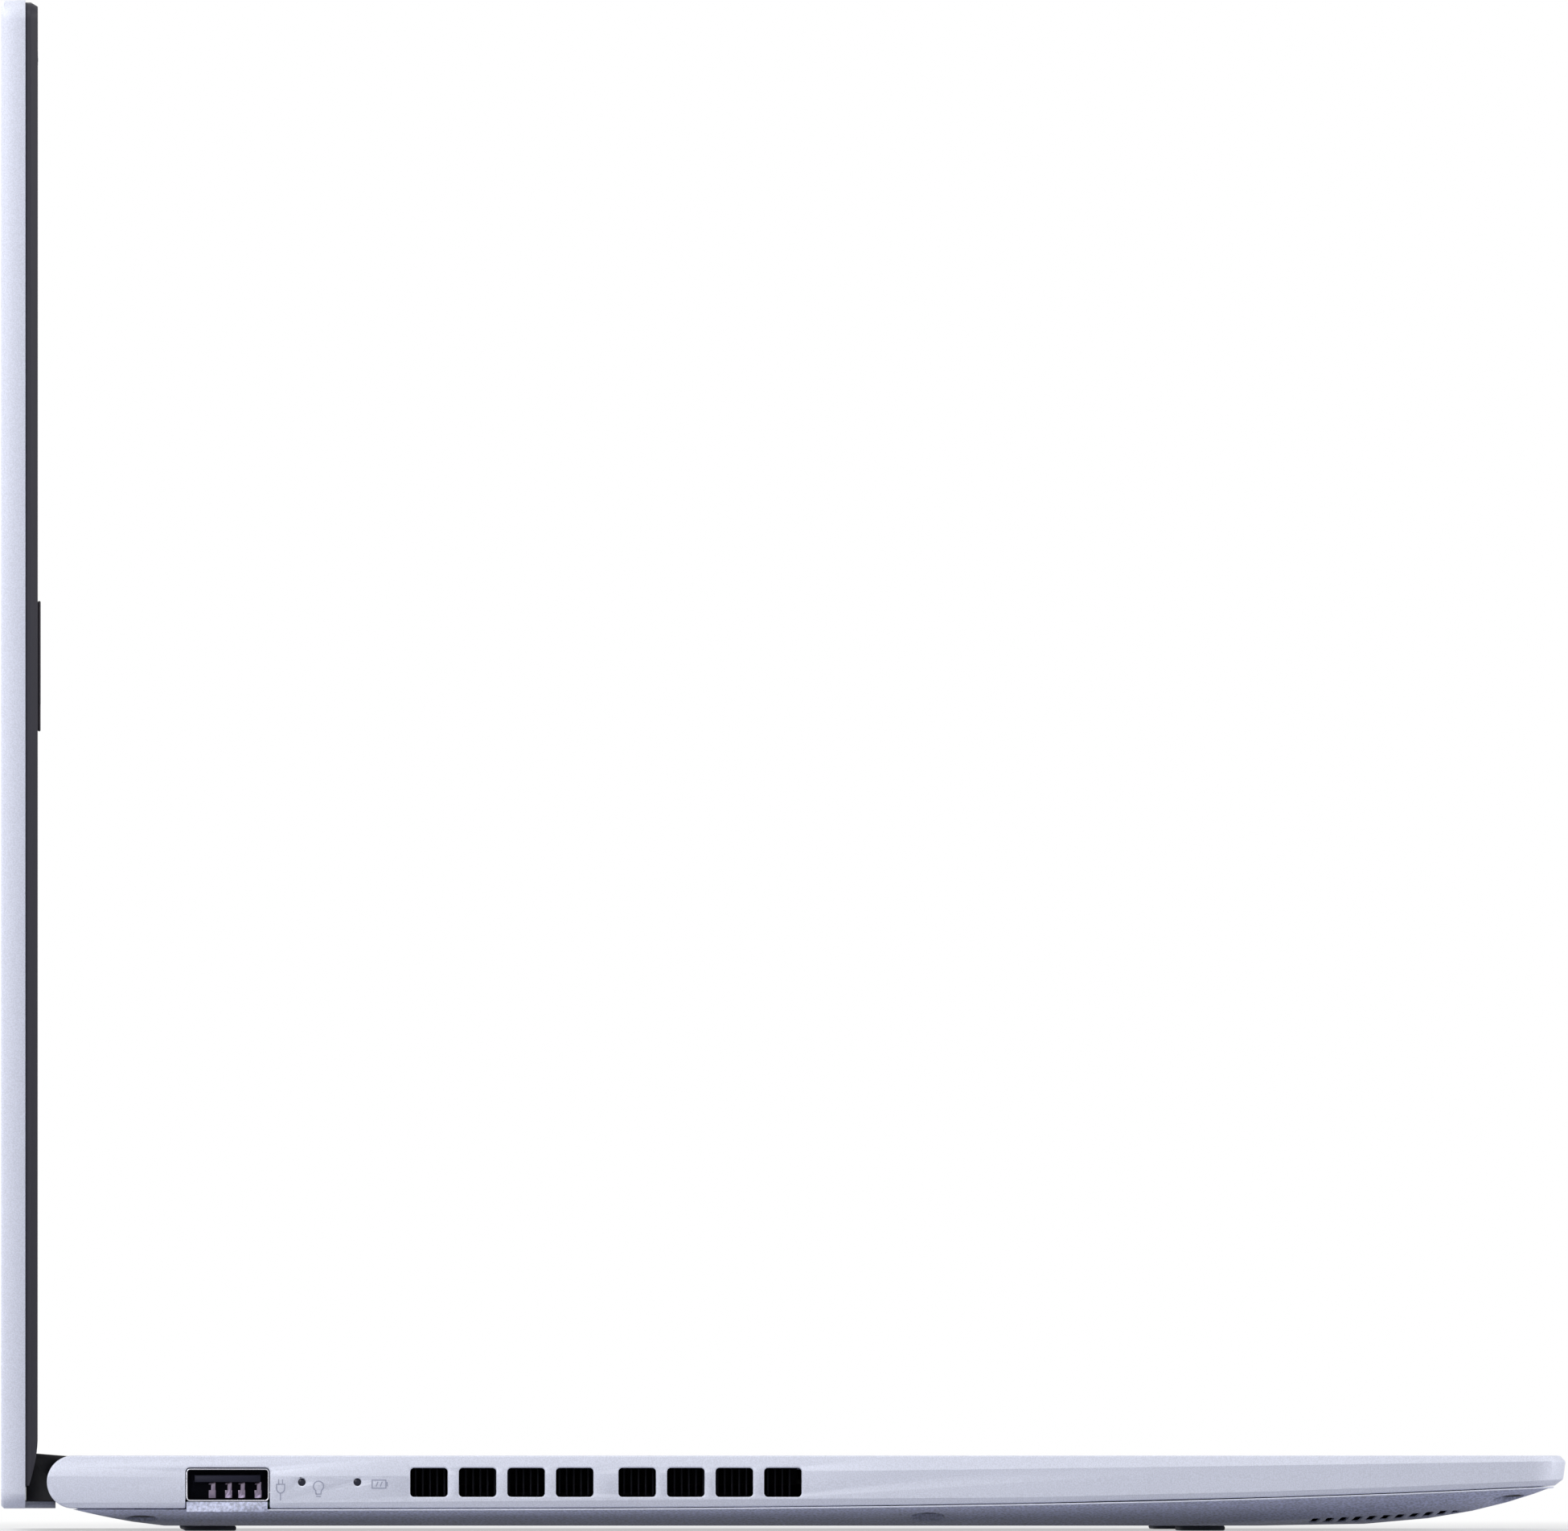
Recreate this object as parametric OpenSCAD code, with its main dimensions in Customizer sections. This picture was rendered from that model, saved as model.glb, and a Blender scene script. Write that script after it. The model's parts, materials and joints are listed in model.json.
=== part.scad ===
// Clamshell laptop computer, 15.6 inch class, lid open at a right angle.
// Millimetres. +Z is up, the front edge faces -Y and the hinge side +Y.
// The origin lies under the middle of the open computer, on the plane its feet stand on.

/* [Base] */
// Width of the base and the lid
body_w = 359.7; // [345:0.1:380]
// Depth of the base from its front edge to its round rear ends
base_d = 232.5; // [226:0.5:250]
// Height from the bottom skin to the deck
base_h = 10.75; // [10.5:0.05:12]
// Radius of the round rear ends, which is also the hinge axis's depth below the deck
nose_r = 4.05; // [3.9:0.05:4.3]
// Height of the side wall at the front edge
front_side_h = 4.5; // [4:0.1:5.5]
// Corner radius of the base in plan, at the front
front_corner_r = 7; // [5:0.5:10]
// Wall thickness of the top case
case_wall = 1.4; // [1.2:0.1:1.6]
// Wall thickness of the bottom cover
cover_wall = 1.2; // [1:0.1:1.4]
// Height that the rubber feet stand proud of the bottom skin
foot_h = 0.8; // [0.5:0.1:2.5]

/* [Lid] */
// Height of the lid from its bottom edge to its top edge
lid_h = 230.8; // [228:0.2:240]
// Depth of the lid cover's side wall, without the bezel
lid_wall_d = 3.7; // [3.5:0.1:4.2]
// Depth that the bezel stands in front of the lid cover
bezel_d = 1.9; // [1.7:0.1:2.3]
// Thickness of the lid cover's skin
lid_skin = 1.2; // [1:0.1:1.3]
// Gap between the bezel's face and the base's round rear ends
hinge_gap = 1.4; // [1.2:0.1:2]
// Corner radius of the lid
lid_corner_r = 3; // [2.5:0.5:6]
// Border on either side of the picture area
side_border = 7.75; // [7.4:0.05:10]
// Border below the picture area
chin_h = 27.2; // [24:0.1:32]
// Border above the picture area
top_border = 10; // [9.5:0.1:12]

/* [Hinge] */
// Width of each round rear end beside the hinge bar
nose_w = 44.9; // [40:0.1:56]
// Radius of the hinge bar's barrel
bar_r = 3.9; // [3.7:0.05:4]
// Diameter of the hinge shafts
shaft_d = 4; // [3:0.1:4.4]
// Running clearance of the shafts in their knuckles, on the radius
shaft_play = 0.05; // [0.02:0.01:0.1]

/* [Keyboard] */
// Distance from the outermost keys to the side of the body
keys_margin = 14.5; // [12:0.1:17]
// Width of one key unit in the number pad, as a share of one in the main block
pad_share = 0.848; // [0.82:0.002:0.9]
// Depth of one key row
row_pitch = 18.2; // [17.5:0.1:19]
// Depth of the function row
function_pitch = 12; // [11:0.1:13]
// Gap between neighbouring key caps
key_gap = 3; // [2.4:0.1:3.6]
// Height of a key cap
key_h = 1.9; // [1.6:0.1:2.1]
// Travel of a key
key_travel = 1.4; // [1:0.1:1.5]
// Depth of the keyboard's recess in the deck
tray_depth = 1; // [0.6:0.1:1.2]

/* [Touchpad] */
// Width of the touchpad
touchpad_w = 129; // [105:1:150]
// Distance from the touchpad to the keyboard's recess and to the front edge
palm_border = 15.5; // [10:0.1:20]

/* [Side openings] */
// Width of a vent hole in the side wall
vent_w = 5.75; // [4.5:0.05:6.2]
// Distance between neighbouring vent holes
vent_pitch = 7.43; // [7:0.01:8]
// Inside width of a USB socket
usb_w = 12.3; // [12.1:0.1:12.8]
// Inside height of a USB socket
usb_h = 4.6; // [4.5:0.05:5]
// Bore diameter of the audio socket
audio_d = 3.6; // [3.5:0.05:3.8]

/* [Hidden] */
$fn = 48;

// Overall places that everything else is set from.
lid_t = lid_wall_d + bezel_d;
front_y = -(base_d + hinge_gap + lid_t) / 2;
rear_y = front_y + base_d;
deck_z = foot_h + base_h;
deck_t = case_wall;
axis_y = rear_y - nose_r;
axis_z = deck_z - nose_r;

// Side wall: how far each level is drawn in, and the depths of its two creases.
side_top_inset = 0.5;
side_low_inset = 0.35;
side_seam_inset = 0.75;
front_top_inset = 0.9;
front_low_inset = 0.37;
front_seam_inset = 1.7;
lower_facet_h = 0.88;
crease_rear = 3.4;
crease_front = 0.85;
seam_gap = 0.15;

// Notch between the round rear ends, where the hinge bar turns.
bar_play = 0.45;
notch_w = body_w - 2 * nose_w;
bar_len = notch_w - 2 * bar_play;
notch_front_y = axis_y - bar_r - 1.2;

// Cavity inside the top case, and the pockets for the hinge knuckles.
cavity_w = body_w - 2 * (side_seam_inset + case_wall);
cavity_front_y = front_y + front_seam_inset + case_wall;
cavity_corner_r = front_corner_r - front_seam_inset - case_wall;
knuckle_r = shaft_d / 2 + 0.8;
pocket_r = knuckle_r + 0.2;

// Bottom cover.
side_run = 15;
front_run = 44;
rear_run = 14;
rim_inset = side_seam_inset + 0.1;
rim_front_inset = front_seam_inset + 0.2;
inner_z = foot_h + cover_wall;
screw_d = 2.2;
screw_head_d = 4.4;
recess_d = screw_head_d + 0.8;
screw_seat = 0.5;
boss_d = 5;
screw_l = 3.2;
screw_side_in = 7.9;
front_screw_side_in = 6.8;
intake_count = 14;
intake_pitch = 3.4;
intake_l = 20;
intake_row_step = 24;
speaker_slots = 11;
speaker_pitch = 2.17;
speaker_slot_l = 4.6;
speaker_slot_w = 1.3;
speaker_slot_y = front_y + 38.4;
speaker_slot_x = body_w / 2 - 13.3;
speaker_slot_step = 0.14;
grille_t = 0.5;
speaker_slot_turn = -11;
tab_gap = 0.25;

// Feet.
front_foot_l = body_w / 8.2;
front_foot_w = 7;
front_foot_x = body_w * 0.328;
front_foot_y = front_y + front_run + 11;
rear_foot_l = body_w / 3;
rear_foot_w = 8;
rear_foot_x = body_w * 0.267;
rear_foot_y = axis_y - rear_run - 7;
foot_corner_r = 3;

// Keyboard.
main_units = 14.5;
pad_units = 4;
pad_gap = 1.5;
keys_w = body_w - 2 * keys_margin;
key_pitch = (keys_w - pad_gap) / (main_units + pad_units * pad_share);
pad_pitch = key_pitch * pad_share;
keys_d = function_pitch + 5 * row_pitch;
tray_margin = 1.6;
tray_rear_y = notch_front_y - 12;
keys_rear_y = tray_rear_y - tray_margin;
keys_left_x = -keys_w / 2;
tray_w = keys_w + 2 * tray_margin;
tray_d = keys_d + 2 * tray_margin;
tray_front_y = tray_rear_y - tray_d;
tray_floor_z = deck_z - tray_depth;
tray_floor_t = 1.2;
key_top_z = deck_z - 0.15;
key_play = 0.4;
key_skin = 1;
post_w = 3;
post_in = 0.2;
plate_t = 0.8;
plate_top_z = key_top_z - key_h - key_travel - 0.15;
plate_z = plate_top_z - plate_t;

// Touchpad.
touchpad_t = 1.2;
touchpad_gap = 0.35;
touchpad_drop = 0.9;
touchpad_x = keys_left_x + 6.75 * key_pitch;
touchpad_d = tray_front_y - front_y - 2 * palm_border;
touchpad_y = (tray_front_y + front_y) / 2;
pivot_r = 0.5;
pivot_y = touchpad_y + touchpad_d / 2 - 2;
touchpad_z = deck_z - 0.1 - touchpad_t;

// Sockets, lights and vents. Places along the side are counted from the round rear ends.
port_depth = 10.5;
port_z = deck_z - 4.48;
port_gap = 0.12;
port_face_x = body_w / 2 - 0.45;
port_floor_z = port_z - usb_h / 2 - 0.2;
usb_wall = 0.2;
usb_out_w = usb_w + 2 * usb_wall;
usb_out_h = usb_h + 2 * usb_wall;
usb_tongue_w = 10.1;
usb_tongue_t = 1.03;
usb_tongue_z = port_z + 0.42;
usb_corner_r = 0.6;
contact_w = 1.06;
contact_h = 2.44;
contact_neck_h = 0.9;
usb_contact_ys = [2.34, -0.16, -2.16, -4.66];
usb_y = rear_y - 27.65;
tab_top_z = port_z - usb_out_h / 2 - 0.1;
light_ys = [rear_y - 39, rear_y - 47.5];
light_r = 0.53;
light_z = port_z + 0.4;
vent_first_y = rear_y - 58.45;
vent_group_step = 9.56;
vent_ys = [for (g = [0, 1]) for (i = [0:3])
    vent_first_y - i * vent_pitch - g * (3 * vent_pitch + vent_group_step)];
vent_top_z = deck_z - 1.9;
vent_low_z = vent_top_z - 4.43;
power_y = rear_y - 27;
power_d = 5.4;
power_bore_d = 4.2;
power_z = port_floor_z + power_d / 2;
hdmi_y = rear_y - 42;
hdmi_w = 14.6;
hdmi_h = 5.1;
hdmi_z = port_floor_z + hdmi_h / 2;
right_usb_ys = [rear_y - 60, rear_y - 78];
usb_c_y = rear_y - 93;
usb_c_w = 9;
usb_c_h = 3.3;
audio_y = rear_y - 106;
audio_out_d = audio_d + 1.6;
audio_depth = 10.6;
audio_z = port_floor_z + audio_out_d / 2;

// Inner pieces.
board_t = 1;
board_z = port_floor_z - board_t;
board_top_z = port_floor_z;
board_front_y = tray_front_y + 4.6;
board_rear_y = notch_front_y - 4;
board_step_y = usb_c_y - 6;
wing_d = 12;
wing_x0 = -body_w / 6;
wing_x1 = body_w * 0.311;
chip_x = -body_w / 18;
chip_y = board_rear_y - 39.6;
chip_w = 24;
chip_d = 16;
chip_h = 0.5;
coil_step = 7;
coil_w = 5;
coil_h = 1.2;
spreader_t = 0.3;
pipe_t = 0.7;
pipe_w = 7;
standoff_places = [[-body_w / 9, board_rear_y - 19.6], [body_w / 6, board_rear_y - 19.6],
                   [body_w * 0.417, board_front_y + 5], [body_w / 36, board_front_y + 10],
                   [body_w * 0.278, board_front_y + 18]];
pipe_z = board_top_z + chip_h + spreader_t;
fin_x0 = -cavity_w / 2 + 0.5;
fin_x1 = -tray_w / 2 - case_wall - 0.3;
fin_rear_y = vent_ys[0] + 2.15;
fin_front_y = vent_ys[7] - 2.2;
fin_pitch = 1.1;
fin_t = 0.25;
fin_z0 = vent_low_z - 0.25;
fin_z1 = vent_top_z + 0.15;
fan_size = 50;
fan_gap = 6.6;
fan_x = fin_x1 + fan_gap + fan_size / 2;
fan_y = (fin_front_y + fin_rear_y) / 2;
fan_z = inner_z;
fan_h = 3.9;
fan_plate = 0.5;
fan_r = 22;
fan_hub_r = 8;
fan_pin_r = 1;
fan_blades = 23;
memory_x = body_w / 9;
memory_w = 70;
memory_d = 32;
memory_y = board_front_y + 30;
drive_x = body_w / 18;
drive_y = board_front_y - wing_d + 1;
drive_l = 84;
drive_w = 22;
wireless_x = port_face_x - 48;
wireless_y = board_front_y + 12;
wireless_w = 30;
card_z = board_top_z + 0.4;
card_t = 0.8;
card_top_z = board_top_z + 1.6;
battery_w = body_w - 97.7;
battery_h = 5.2;
battery_front_y = front_y + front_run + 3.4;
battery_rear_y = board_front_y - wing_d - 0.35;
battery_mid_y = (battery_front_y + battery_rear_y) / 2;
speaker_w = 26;
speaker_d = 30;
speaker_h = 4.2;
speaker_x = body_w / 2 - 31.85;
speaker_z = inner_z + 2.1;
speaker_y = front_y + 31.5;

// Lid.
lid_back_y = rear_y + hinge_gap + lid_t;
lid_seam_y = lid_back_y - lid_wall_d;
bezel_y = lid_seam_y - bezel_d;
lid_z = axis_z - nose_r;
lid_top_z = lid_z + lid_h;
lid_wall = 1.35;
bezel_inset = 0.35;
bezel_chamfer = 0.65;
bezel_chamfer_d = 1.05;
bezel_rim = 2.6;
bezel_lip = 1;
bezel_rise = 3.5;
bezel_taper_h = 6.95;
bezel_taper_d = 1.3;
screen_w = body_w - 2 * side_border;
screen_top_z = lid_top_z - top_border;
screen_z = lid_z + chin_h;
screen_h = screen_top_z - screen_z;
screen_mid_z = (screen_z + screen_top_z) / 2;
panel_w = screen_w + 5;
panel_h = screen_h + 5;
panel_y = bezel_y + bezel_lip + 0.05;
panel_t = 0.9;
backlight_t = 2.2;
camera_z = screen_top_z + 4.9;
camera_d = 4;
camera_h = 4;
camera_w = 60;
antenna_w = 40;
bumper_x = (screen_w + body_w) / 4;
bumper_z = lid_top_z - lid_h * 0.433;
bumper_h = 0.45;
bumper_w = 3;
bumper_l = 16;

// Hinge bar, arms and brackets.
bar_top = nose_r + 0.3;
lip_t = 1.1;
lip_y = axis_y + 2.7;
knuckle_x0 = notch_w / 2 + case_wall + 0.3;
knuckle_l = 12;
bracket_x0 = bar_len / 2 - 22.5;
bracket_x1 = knuckle_x0 + knuckle_l;
bracket_front_y = tray_rear_y + case_wall + 0.4;
bracket_top_z = deck_z - deck_t - 0.05;
bracket_t = 1.4;
bracket_screw_y = bracket_front_y + 4;
hinge_screw_places = [for (x = [5, 17, 31]) [bracket_x0 + x, bracket_screw_y]];
arm_x0 = bracket_x0;
arm_w = 20;
arm_t = 1.6;
leaf_t = 1.4;
leaf_y = lid_seam_y + 0.35;
leaf_h = 15;
arm_screw_places = [[arm_x0 + 4, axis_z + 10.5], [arm_x0 + arm_w - 4, axis_z + 10.5],
                    [arm_x0 + arm_w / 2, axis_z + 6.5]];

// Small helpers.
function lerp(a, b, t) = a + (b - a) * t;
function forward(y) = max(0, (rear_y - y) / base_d);

// Depths below the deck of the side wall's two creases and of the seam, which follow the wedge shape.
function seam_depth(y) = 2 * nose_r - (2 * nose_r - front_side_h) * pow(forward(y), 3.4);
function upper_crease(y) = lerp(crease_rear, crease_front, pow(forward(y), 1.4));
function lower_crease(y) = seam_depth(y) - lower_facet_h;
function rim_z(y) = deck_z - seam_depth(y) - seam_gap;

// The bottom screws stand on the curved flanks, at the front edge and before the hinge bar.
side_screw_places = [[screw_side_in, rear_y - 14.5], [screw_side_in, rear_y - 0.58 * base_d],
                     [front_screw_side_in, front_y + 9]];
bottom_screw_places = concat(
    [for (s = [-1, 1]) for (q = side_screw_places) [s * (body_w / 2 - q.x), q.y]],
    [for (s = [-1, 1]) [s * body_w / 6, notch_front_y - 7]], [[0, front_y + 8]]);

// Key layout. A key is [x, y, width, depth], and a row is a list of widths in key units.
function sum_to(list, i) = i <= 0 ? 0 : list[i - 1] + sum_to(list, i - 1);
function key_line(widths, x0, unit, y, pitch) = [for (i = [0:len(widths) - 1])
    [x0 + (sum_to(widths, i) + widths[i] / 2) * unit, y, widths[i] * unit - key_gap, pitch - key_gap]];
function row_y(i) = keys_rear_y - function_pitch - (i + 0.5) * row_pitch;
function ones(n) = [for (i = [1:n]) 1];
pad_x = keys_left_x + main_units * key_pitch + pad_gap;
function_y = keys_rear_y - function_pitch / 2;
power_index = 13;
function_row = concat(
    key_line([for (i = [0:13]) main_units / 14], keys_left_x, key_pitch, function_y, function_pitch),
    key_line(ones(pad_units), pad_x, pad_pitch, function_y, function_pitch));
number_row = key_line(concat(ones(13), [1.5]), keys_left_x, key_pitch, row_y(0), row_pitch);
upper_row = key_line(concat([1.5], ones(13)), keys_left_x, key_pitch, row_y(1), row_pitch);
home_row = key_line(concat([1.75], ones(11), [1.75]), keys_left_x, key_pitch, row_y(2), row_pitch);
lower_row = key_line(concat([2.25], ones(10), [2.25]), keys_left_x, key_pitch, row_y(3), row_pitch);
command_row = key_line([1.25, 1, 1, 1, 5, 1, 1.25], keys_left_x, key_pitch, row_y(4), row_pitch);
arrow_x = keys_left_x + 11.5 * key_pitch;
arrow_line = key_line(ones(3), arrow_x, key_pitch, row_y(4), row_pitch);
half_d = (row_pitch - key_gap - 1) / 2;
arrow_list = concat([arrow_line[0], arrow_line[2]], [for (s = [-1, 1])
    [arrow_line[1][0], arrow_line[1][1] + s * (half_d + 1) / 2, arrow_line[1][2], half_d]]);
// The number pad's last column has a tall plus key and a tall enter key, and its zero is two units wide.
pad_list = concat(
    [for (r = [0:3]) each key_line(r == 0 ? ones(4) : ones(3), pad_x, pad_pitch, row_y(r), row_pitch)],
    key_line([2, 1], pad_x, pad_pitch, row_y(4), row_pitch),
    [for (r = [1, 3]) [pad_x + 3.5 * pad_pitch, row_y(r) - row_pitch / 2, pad_pitch - key_gap,
                       2 * row_pitch - key_gap]]);
all_keys = concat(function_row, number_row, upper_row, home_row, lower_row, command_row, arrow_list,
                  pad_list);

// Half outline of a rounded plan shape, from the rear middle round to the front middle.
function half_outline(w, yr, yf, rr, rf) = concat(
    [for (a = [90:-30:0]) [w - rr + rr * cos(a), yr - rr + rr * sin(a)]],
    [for (i = [1:11]) [w, lerp(yr - rr, yf + rf, i / 12)]],
    [for (a = [0:-15:-90]) [w - rf + rf * cos(a), yf + rf + rf * sin(a)]]);

// A closed ring of points, from a half outline and the heights of its points.
function ring(half, z) = concat(
    [for (i = [0:len(half) - 1]) [half[i].x, half[i].y, z[i]]],
    [for (i = [len(half) - 1:-1:0]) [-half[i].x, half[i].y, z[i]]]);

// A solid through rings that lie under each other, the first on top. Its ends are ladders of flat quads.
module loft(rings) {
    n = len(rings[0]);
    m = n / 2;
    last = (len(rings) - 1) * n;
    sides = [for (k = [0:len(rings) - 2]) for (i = [0:n - 1])
        let (a = k * n + i, b = k * n + (i + 1) % n)
        each [[a, b + n, b], [a, a + n, b + n]]];
    top = [for (i = [0:m - 2]) each [[i, n - 2 - i, n - 1 - i], [i, i + 1, n - 2 - i]]];
    bottom = [for (f = top) [last + f[0], last + f[2], last + f[1]]];
    polyhedron(points = [for (r = rings) each r], faces = concat(sides, top, bottom));
}

// A rectangle about the origin with n chords in each round corner.
module rounded_rect(w, d, r, n = 5) {
    polygon([for (c = [[1, 1, 0], [-1, 1, 90], [-1, -1, 180], [1, -1, 270]]) for (i = [0:n])
        [c[0] * (w / 2 - r) + r * cos(c[2] + i * 90 / n), c[1] * (d / 2 - r) + r * sin(c[2] + i * 90 / n)]]);
}

module block(x0, x1, y0, y1, z0, z1) {
    translate([x0, y0, z0]) cube([x1 - x0, y1 - y0, z1 - z0]);
}

// A profile drawn in y and z, run along x from -w/2 to w/2.
module along_x(w) {
    translate([-w / 2, 0, 0]) rotate([90, 0, 90]) linear_extrude(w) children();
}

// A shape drawn in x and z, run along y from y0 to y1.
module along_y(y0, y1) {
    translate([0, y1, 0]) rotate([90, 0, 0]) linear_extrude(y1 - y0) children();
}

module both_sides() {
    children();
    mirror([1, 0, 0]) children();
}

// The side wall's outline at one level, drawn in by s at the sides and by f at the front.
function wall_level(s, f) =
    half_outline(body_w / 2 - s, rear_y + 0.6, front_y + f, 0.5, front_corner_r - f);

module case_outside() {
    levels = [wall_level(side_top_inset, front_top_inset), wall_level(0, 0),
              wall_level(side_low_inset, front_low_inset), wall_level(side_seam_inset, front_seam_inset)];
    depths = [[for (p = levels[0]) 0],
              [for (p = levels[1]) upper_crease(p.y)],
              [for (p = levels[2]) lower_crease(p.y)],
              [for (p = levels[3]) seam_depth(p.y)]];
    intersection() {
        loft([for (k = [0:3]) ring(levels[k], [for (d = depths[k]) deck_z - d])]);
        along_x(body_w + 4) polygon(concat(
            [[front_y - 2, -2], [front_y - 2, deck_z + 2], [axis_y, deck_z + 2]],
            [for (a = [90:-7.5:-90]) [axis_y + nose_r * cos(a), axis_z + nose_r * sin(a)]],
            [[axis_y, -2]]));
    }
}

// The bottom cover's outline at fraction t of the way in from its rim to its flat middle.
function cover_level(t, inset) = half_outline(
    body_w / 2 - rim_inset - inset - t * side_run, axis_y - inset - t * rear_run,
    front_y + rim_front_inset + inset + t * front_run,
    1 + 6 * t, front_corner_r - rim_front_inset + 12 * t);

// The cover curves up late at the front and early at the sides. Point i of the outline says which.
function curve_power(i) = lerp(1.35, 2.95, max(0, min(1, (i - 15) / 6)));
function cover_heights(t, lift) = let (rim = cover_level(0, 0)) [for (i = [0:len(rim) - 1])
    foot_h + lift + (rim_z(rim[i].y) - foot_h) * pow(1 - t, curve_power(i))];

module cover_loft(inset, lift, rise) {
    levels = [0.07, 0.16, 0.28, 0.43, 0.65, 1];
    loft(concat([ring(cover_level(0, inset), cover_heights(0, rise))],
                [for (t = levels) ring(cover_level(t, inset), cover_heights(t, lift))]));
}

// Room between the round rear ends, grown by extra on three sides.
module notch(extra) {
    block(-notch_w / 2 - extra, notch_w / 2 + extra, notch_front_y - extra, rear_y + 5, -5, deck_z + 5);
}

// Puts its children at each bottom screw, level with the cover's rim.
module at_bottom_screws() {
    for (p = bottom_screw_places) translate([p.x, p.y, rim_z(p.y)]) children();
}

// ---- Base ----

module cavity() {
    difference() {
        translate([0, 0, -5]) linear_extrude(deck_z - deck_t + 5) hull() both_sides() {
            translate([cavity_w / 2 - cavity_corner_r, cavity_front_y + cavity_corner_r])
                circle(cavity_corner_r);
            translate([cavity_w / 2 - 1, notch_front_y - case_wall - 1]) square(1);
        }
        translate([0, (tray_rear_y + tray_front_y) / 2, tray_floor_z - tray_floor_t])
            linear_extrude(10) rounded_rect(tray_w + 2 * case_wall, tray_d + 2 * case_wall, 3);
    }
    both_sides() {
        block(notch_w / 2 + case_wall, cavity_w / 2, notch_front_y - 5, axis_y - cover_wall - 0.2,
              -5, deck_z - deck_t);
        block(notch_w / 2 + case_wall, cavity_w / 2, notch_front_y - 5, axis_y,
              axis_z - pocket_r + 0.3, deck_z - deck_t);
        translate([notch_w / 2 + case_wall, axis_y, axis_z]) rotate([0, 90, 0])
            cylinder(r = pocket_r, h = cavity_w / 2 - notch_w / 2 - case_wall);
    }
}

module key_holes() {
    for (k = all_keys)
        translate([k[0], k[1], 0]) square([k[2] + 2 * key_play, k[3] + 2 * key_play], center = true);
}

module side_openings() {
    // Left: USB, two status lights and two groups of four vents.
    translate([-body_w / 2 - 2, usb_y, port_z]) rotate([90, 0, 90]) linear_extrude(6) usb_outline(port_gap);
    block(-body_w / 2 - 2, -body_w / 2 + 4, usb_y - usb_out_w / 2 - port_gap,
          usb_y + usb_out_w / 2 + port_gap, -5, port_z);
    for (y = light_ys) translate([-body_w / 2 - 2, y, light_z]) rotate([0, 90, 0])
        cylinder(r = light_r + 0.05, h = 6);
    for (y = vent_ys)
        translate([-body_w / 2 - 2, y, (vent_top_z + vent_low_z) / 2]) rotate([90, 0, 90])
            linear_extrude(6) rounded_rect(vent_w, vent_top_z - vent_low_z, 0.6);
    // Right: power, HDMI, two USB, USB-C and audio.
    translate([body_w / 2 - 4, power_y, power_z]) rotate([0, 90, 0])
        cylinder(d = power_d + 2 * port_gap, h = 6);
    translate([body_w / 2 - 4, hdmi_y, hdmi_z]) rotate([90, 0, 90])
        linear_extrude(6) hdmi_outline(port_gap);
    for (y = right_usb_ys) translate([body_w / 2 - 4, y, port_z]) rotate([90, 0, 90])
        linear_extrude(6) usb_outline(port_gap);
    translate([body_w / 2 - 4, usb_c_y, port_z]) rotate([90, 0, 90])
        linear_extrude(6)
            rounded_rect(usb_c_w + 2 * port_gap, usb_c_h + 2 * port_gap, usb_c_h / 2 + port_gap);
    translate([body_w / 2 - 4, audio_y, audio_z]) rotate([0, 90, 0])
        cylinder(d = audio_out_d + 2 * port_gap, h = 6);
}

module top_case() color([0.79, 0.8, 0.86]) {
    difference() {
        case_outside();
        cavity();
        notch(0);
        translate([0, (tray_rear_y + tray_front_y) / 2, tray_floor_z])
            linear_extrude(10) rounded_rect(tray_w, tray_d, 3);
        translate([0, 0, tray_floor_z - tray_floor_t - 1]) linear_extrude(4) key_holes();
        translate([touchpad_x, touchpad_y, deck_z - deck_t - 1])
            linear_extrude(10) rounded_rect(touchpad_w + 2 * touchpad_gap, touchpad_d + 2 * touchpad_gap, 2);
        side_openings();
        both_sides() for (p = hinge_screw_places) translate([p.x, p.y, deck_z - deck_t - 1])
            cylinder(d = screw_d + 0.1, h = 1.9);
        both_sides() translate([notch_w / 2 - 1, axis_y, axis_z]) rotate([0, 90, 0])
            cylinder(d = shaft_d + 0.5, h = case_wall + 2);
    }
    for (p = bottom_screw_places) translate([p.x, p.y, rim_z(p.y) + seam_gap]) difference() {
        cylinder(d = boss_d, h = deck_z - deck_t / 2 - rim_z(p.y) - seam_gap);
        translate([0, 0, -1]) cylinder(d = screw_d + 0.1, h = screw_l + 0.8);
    }
}

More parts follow.
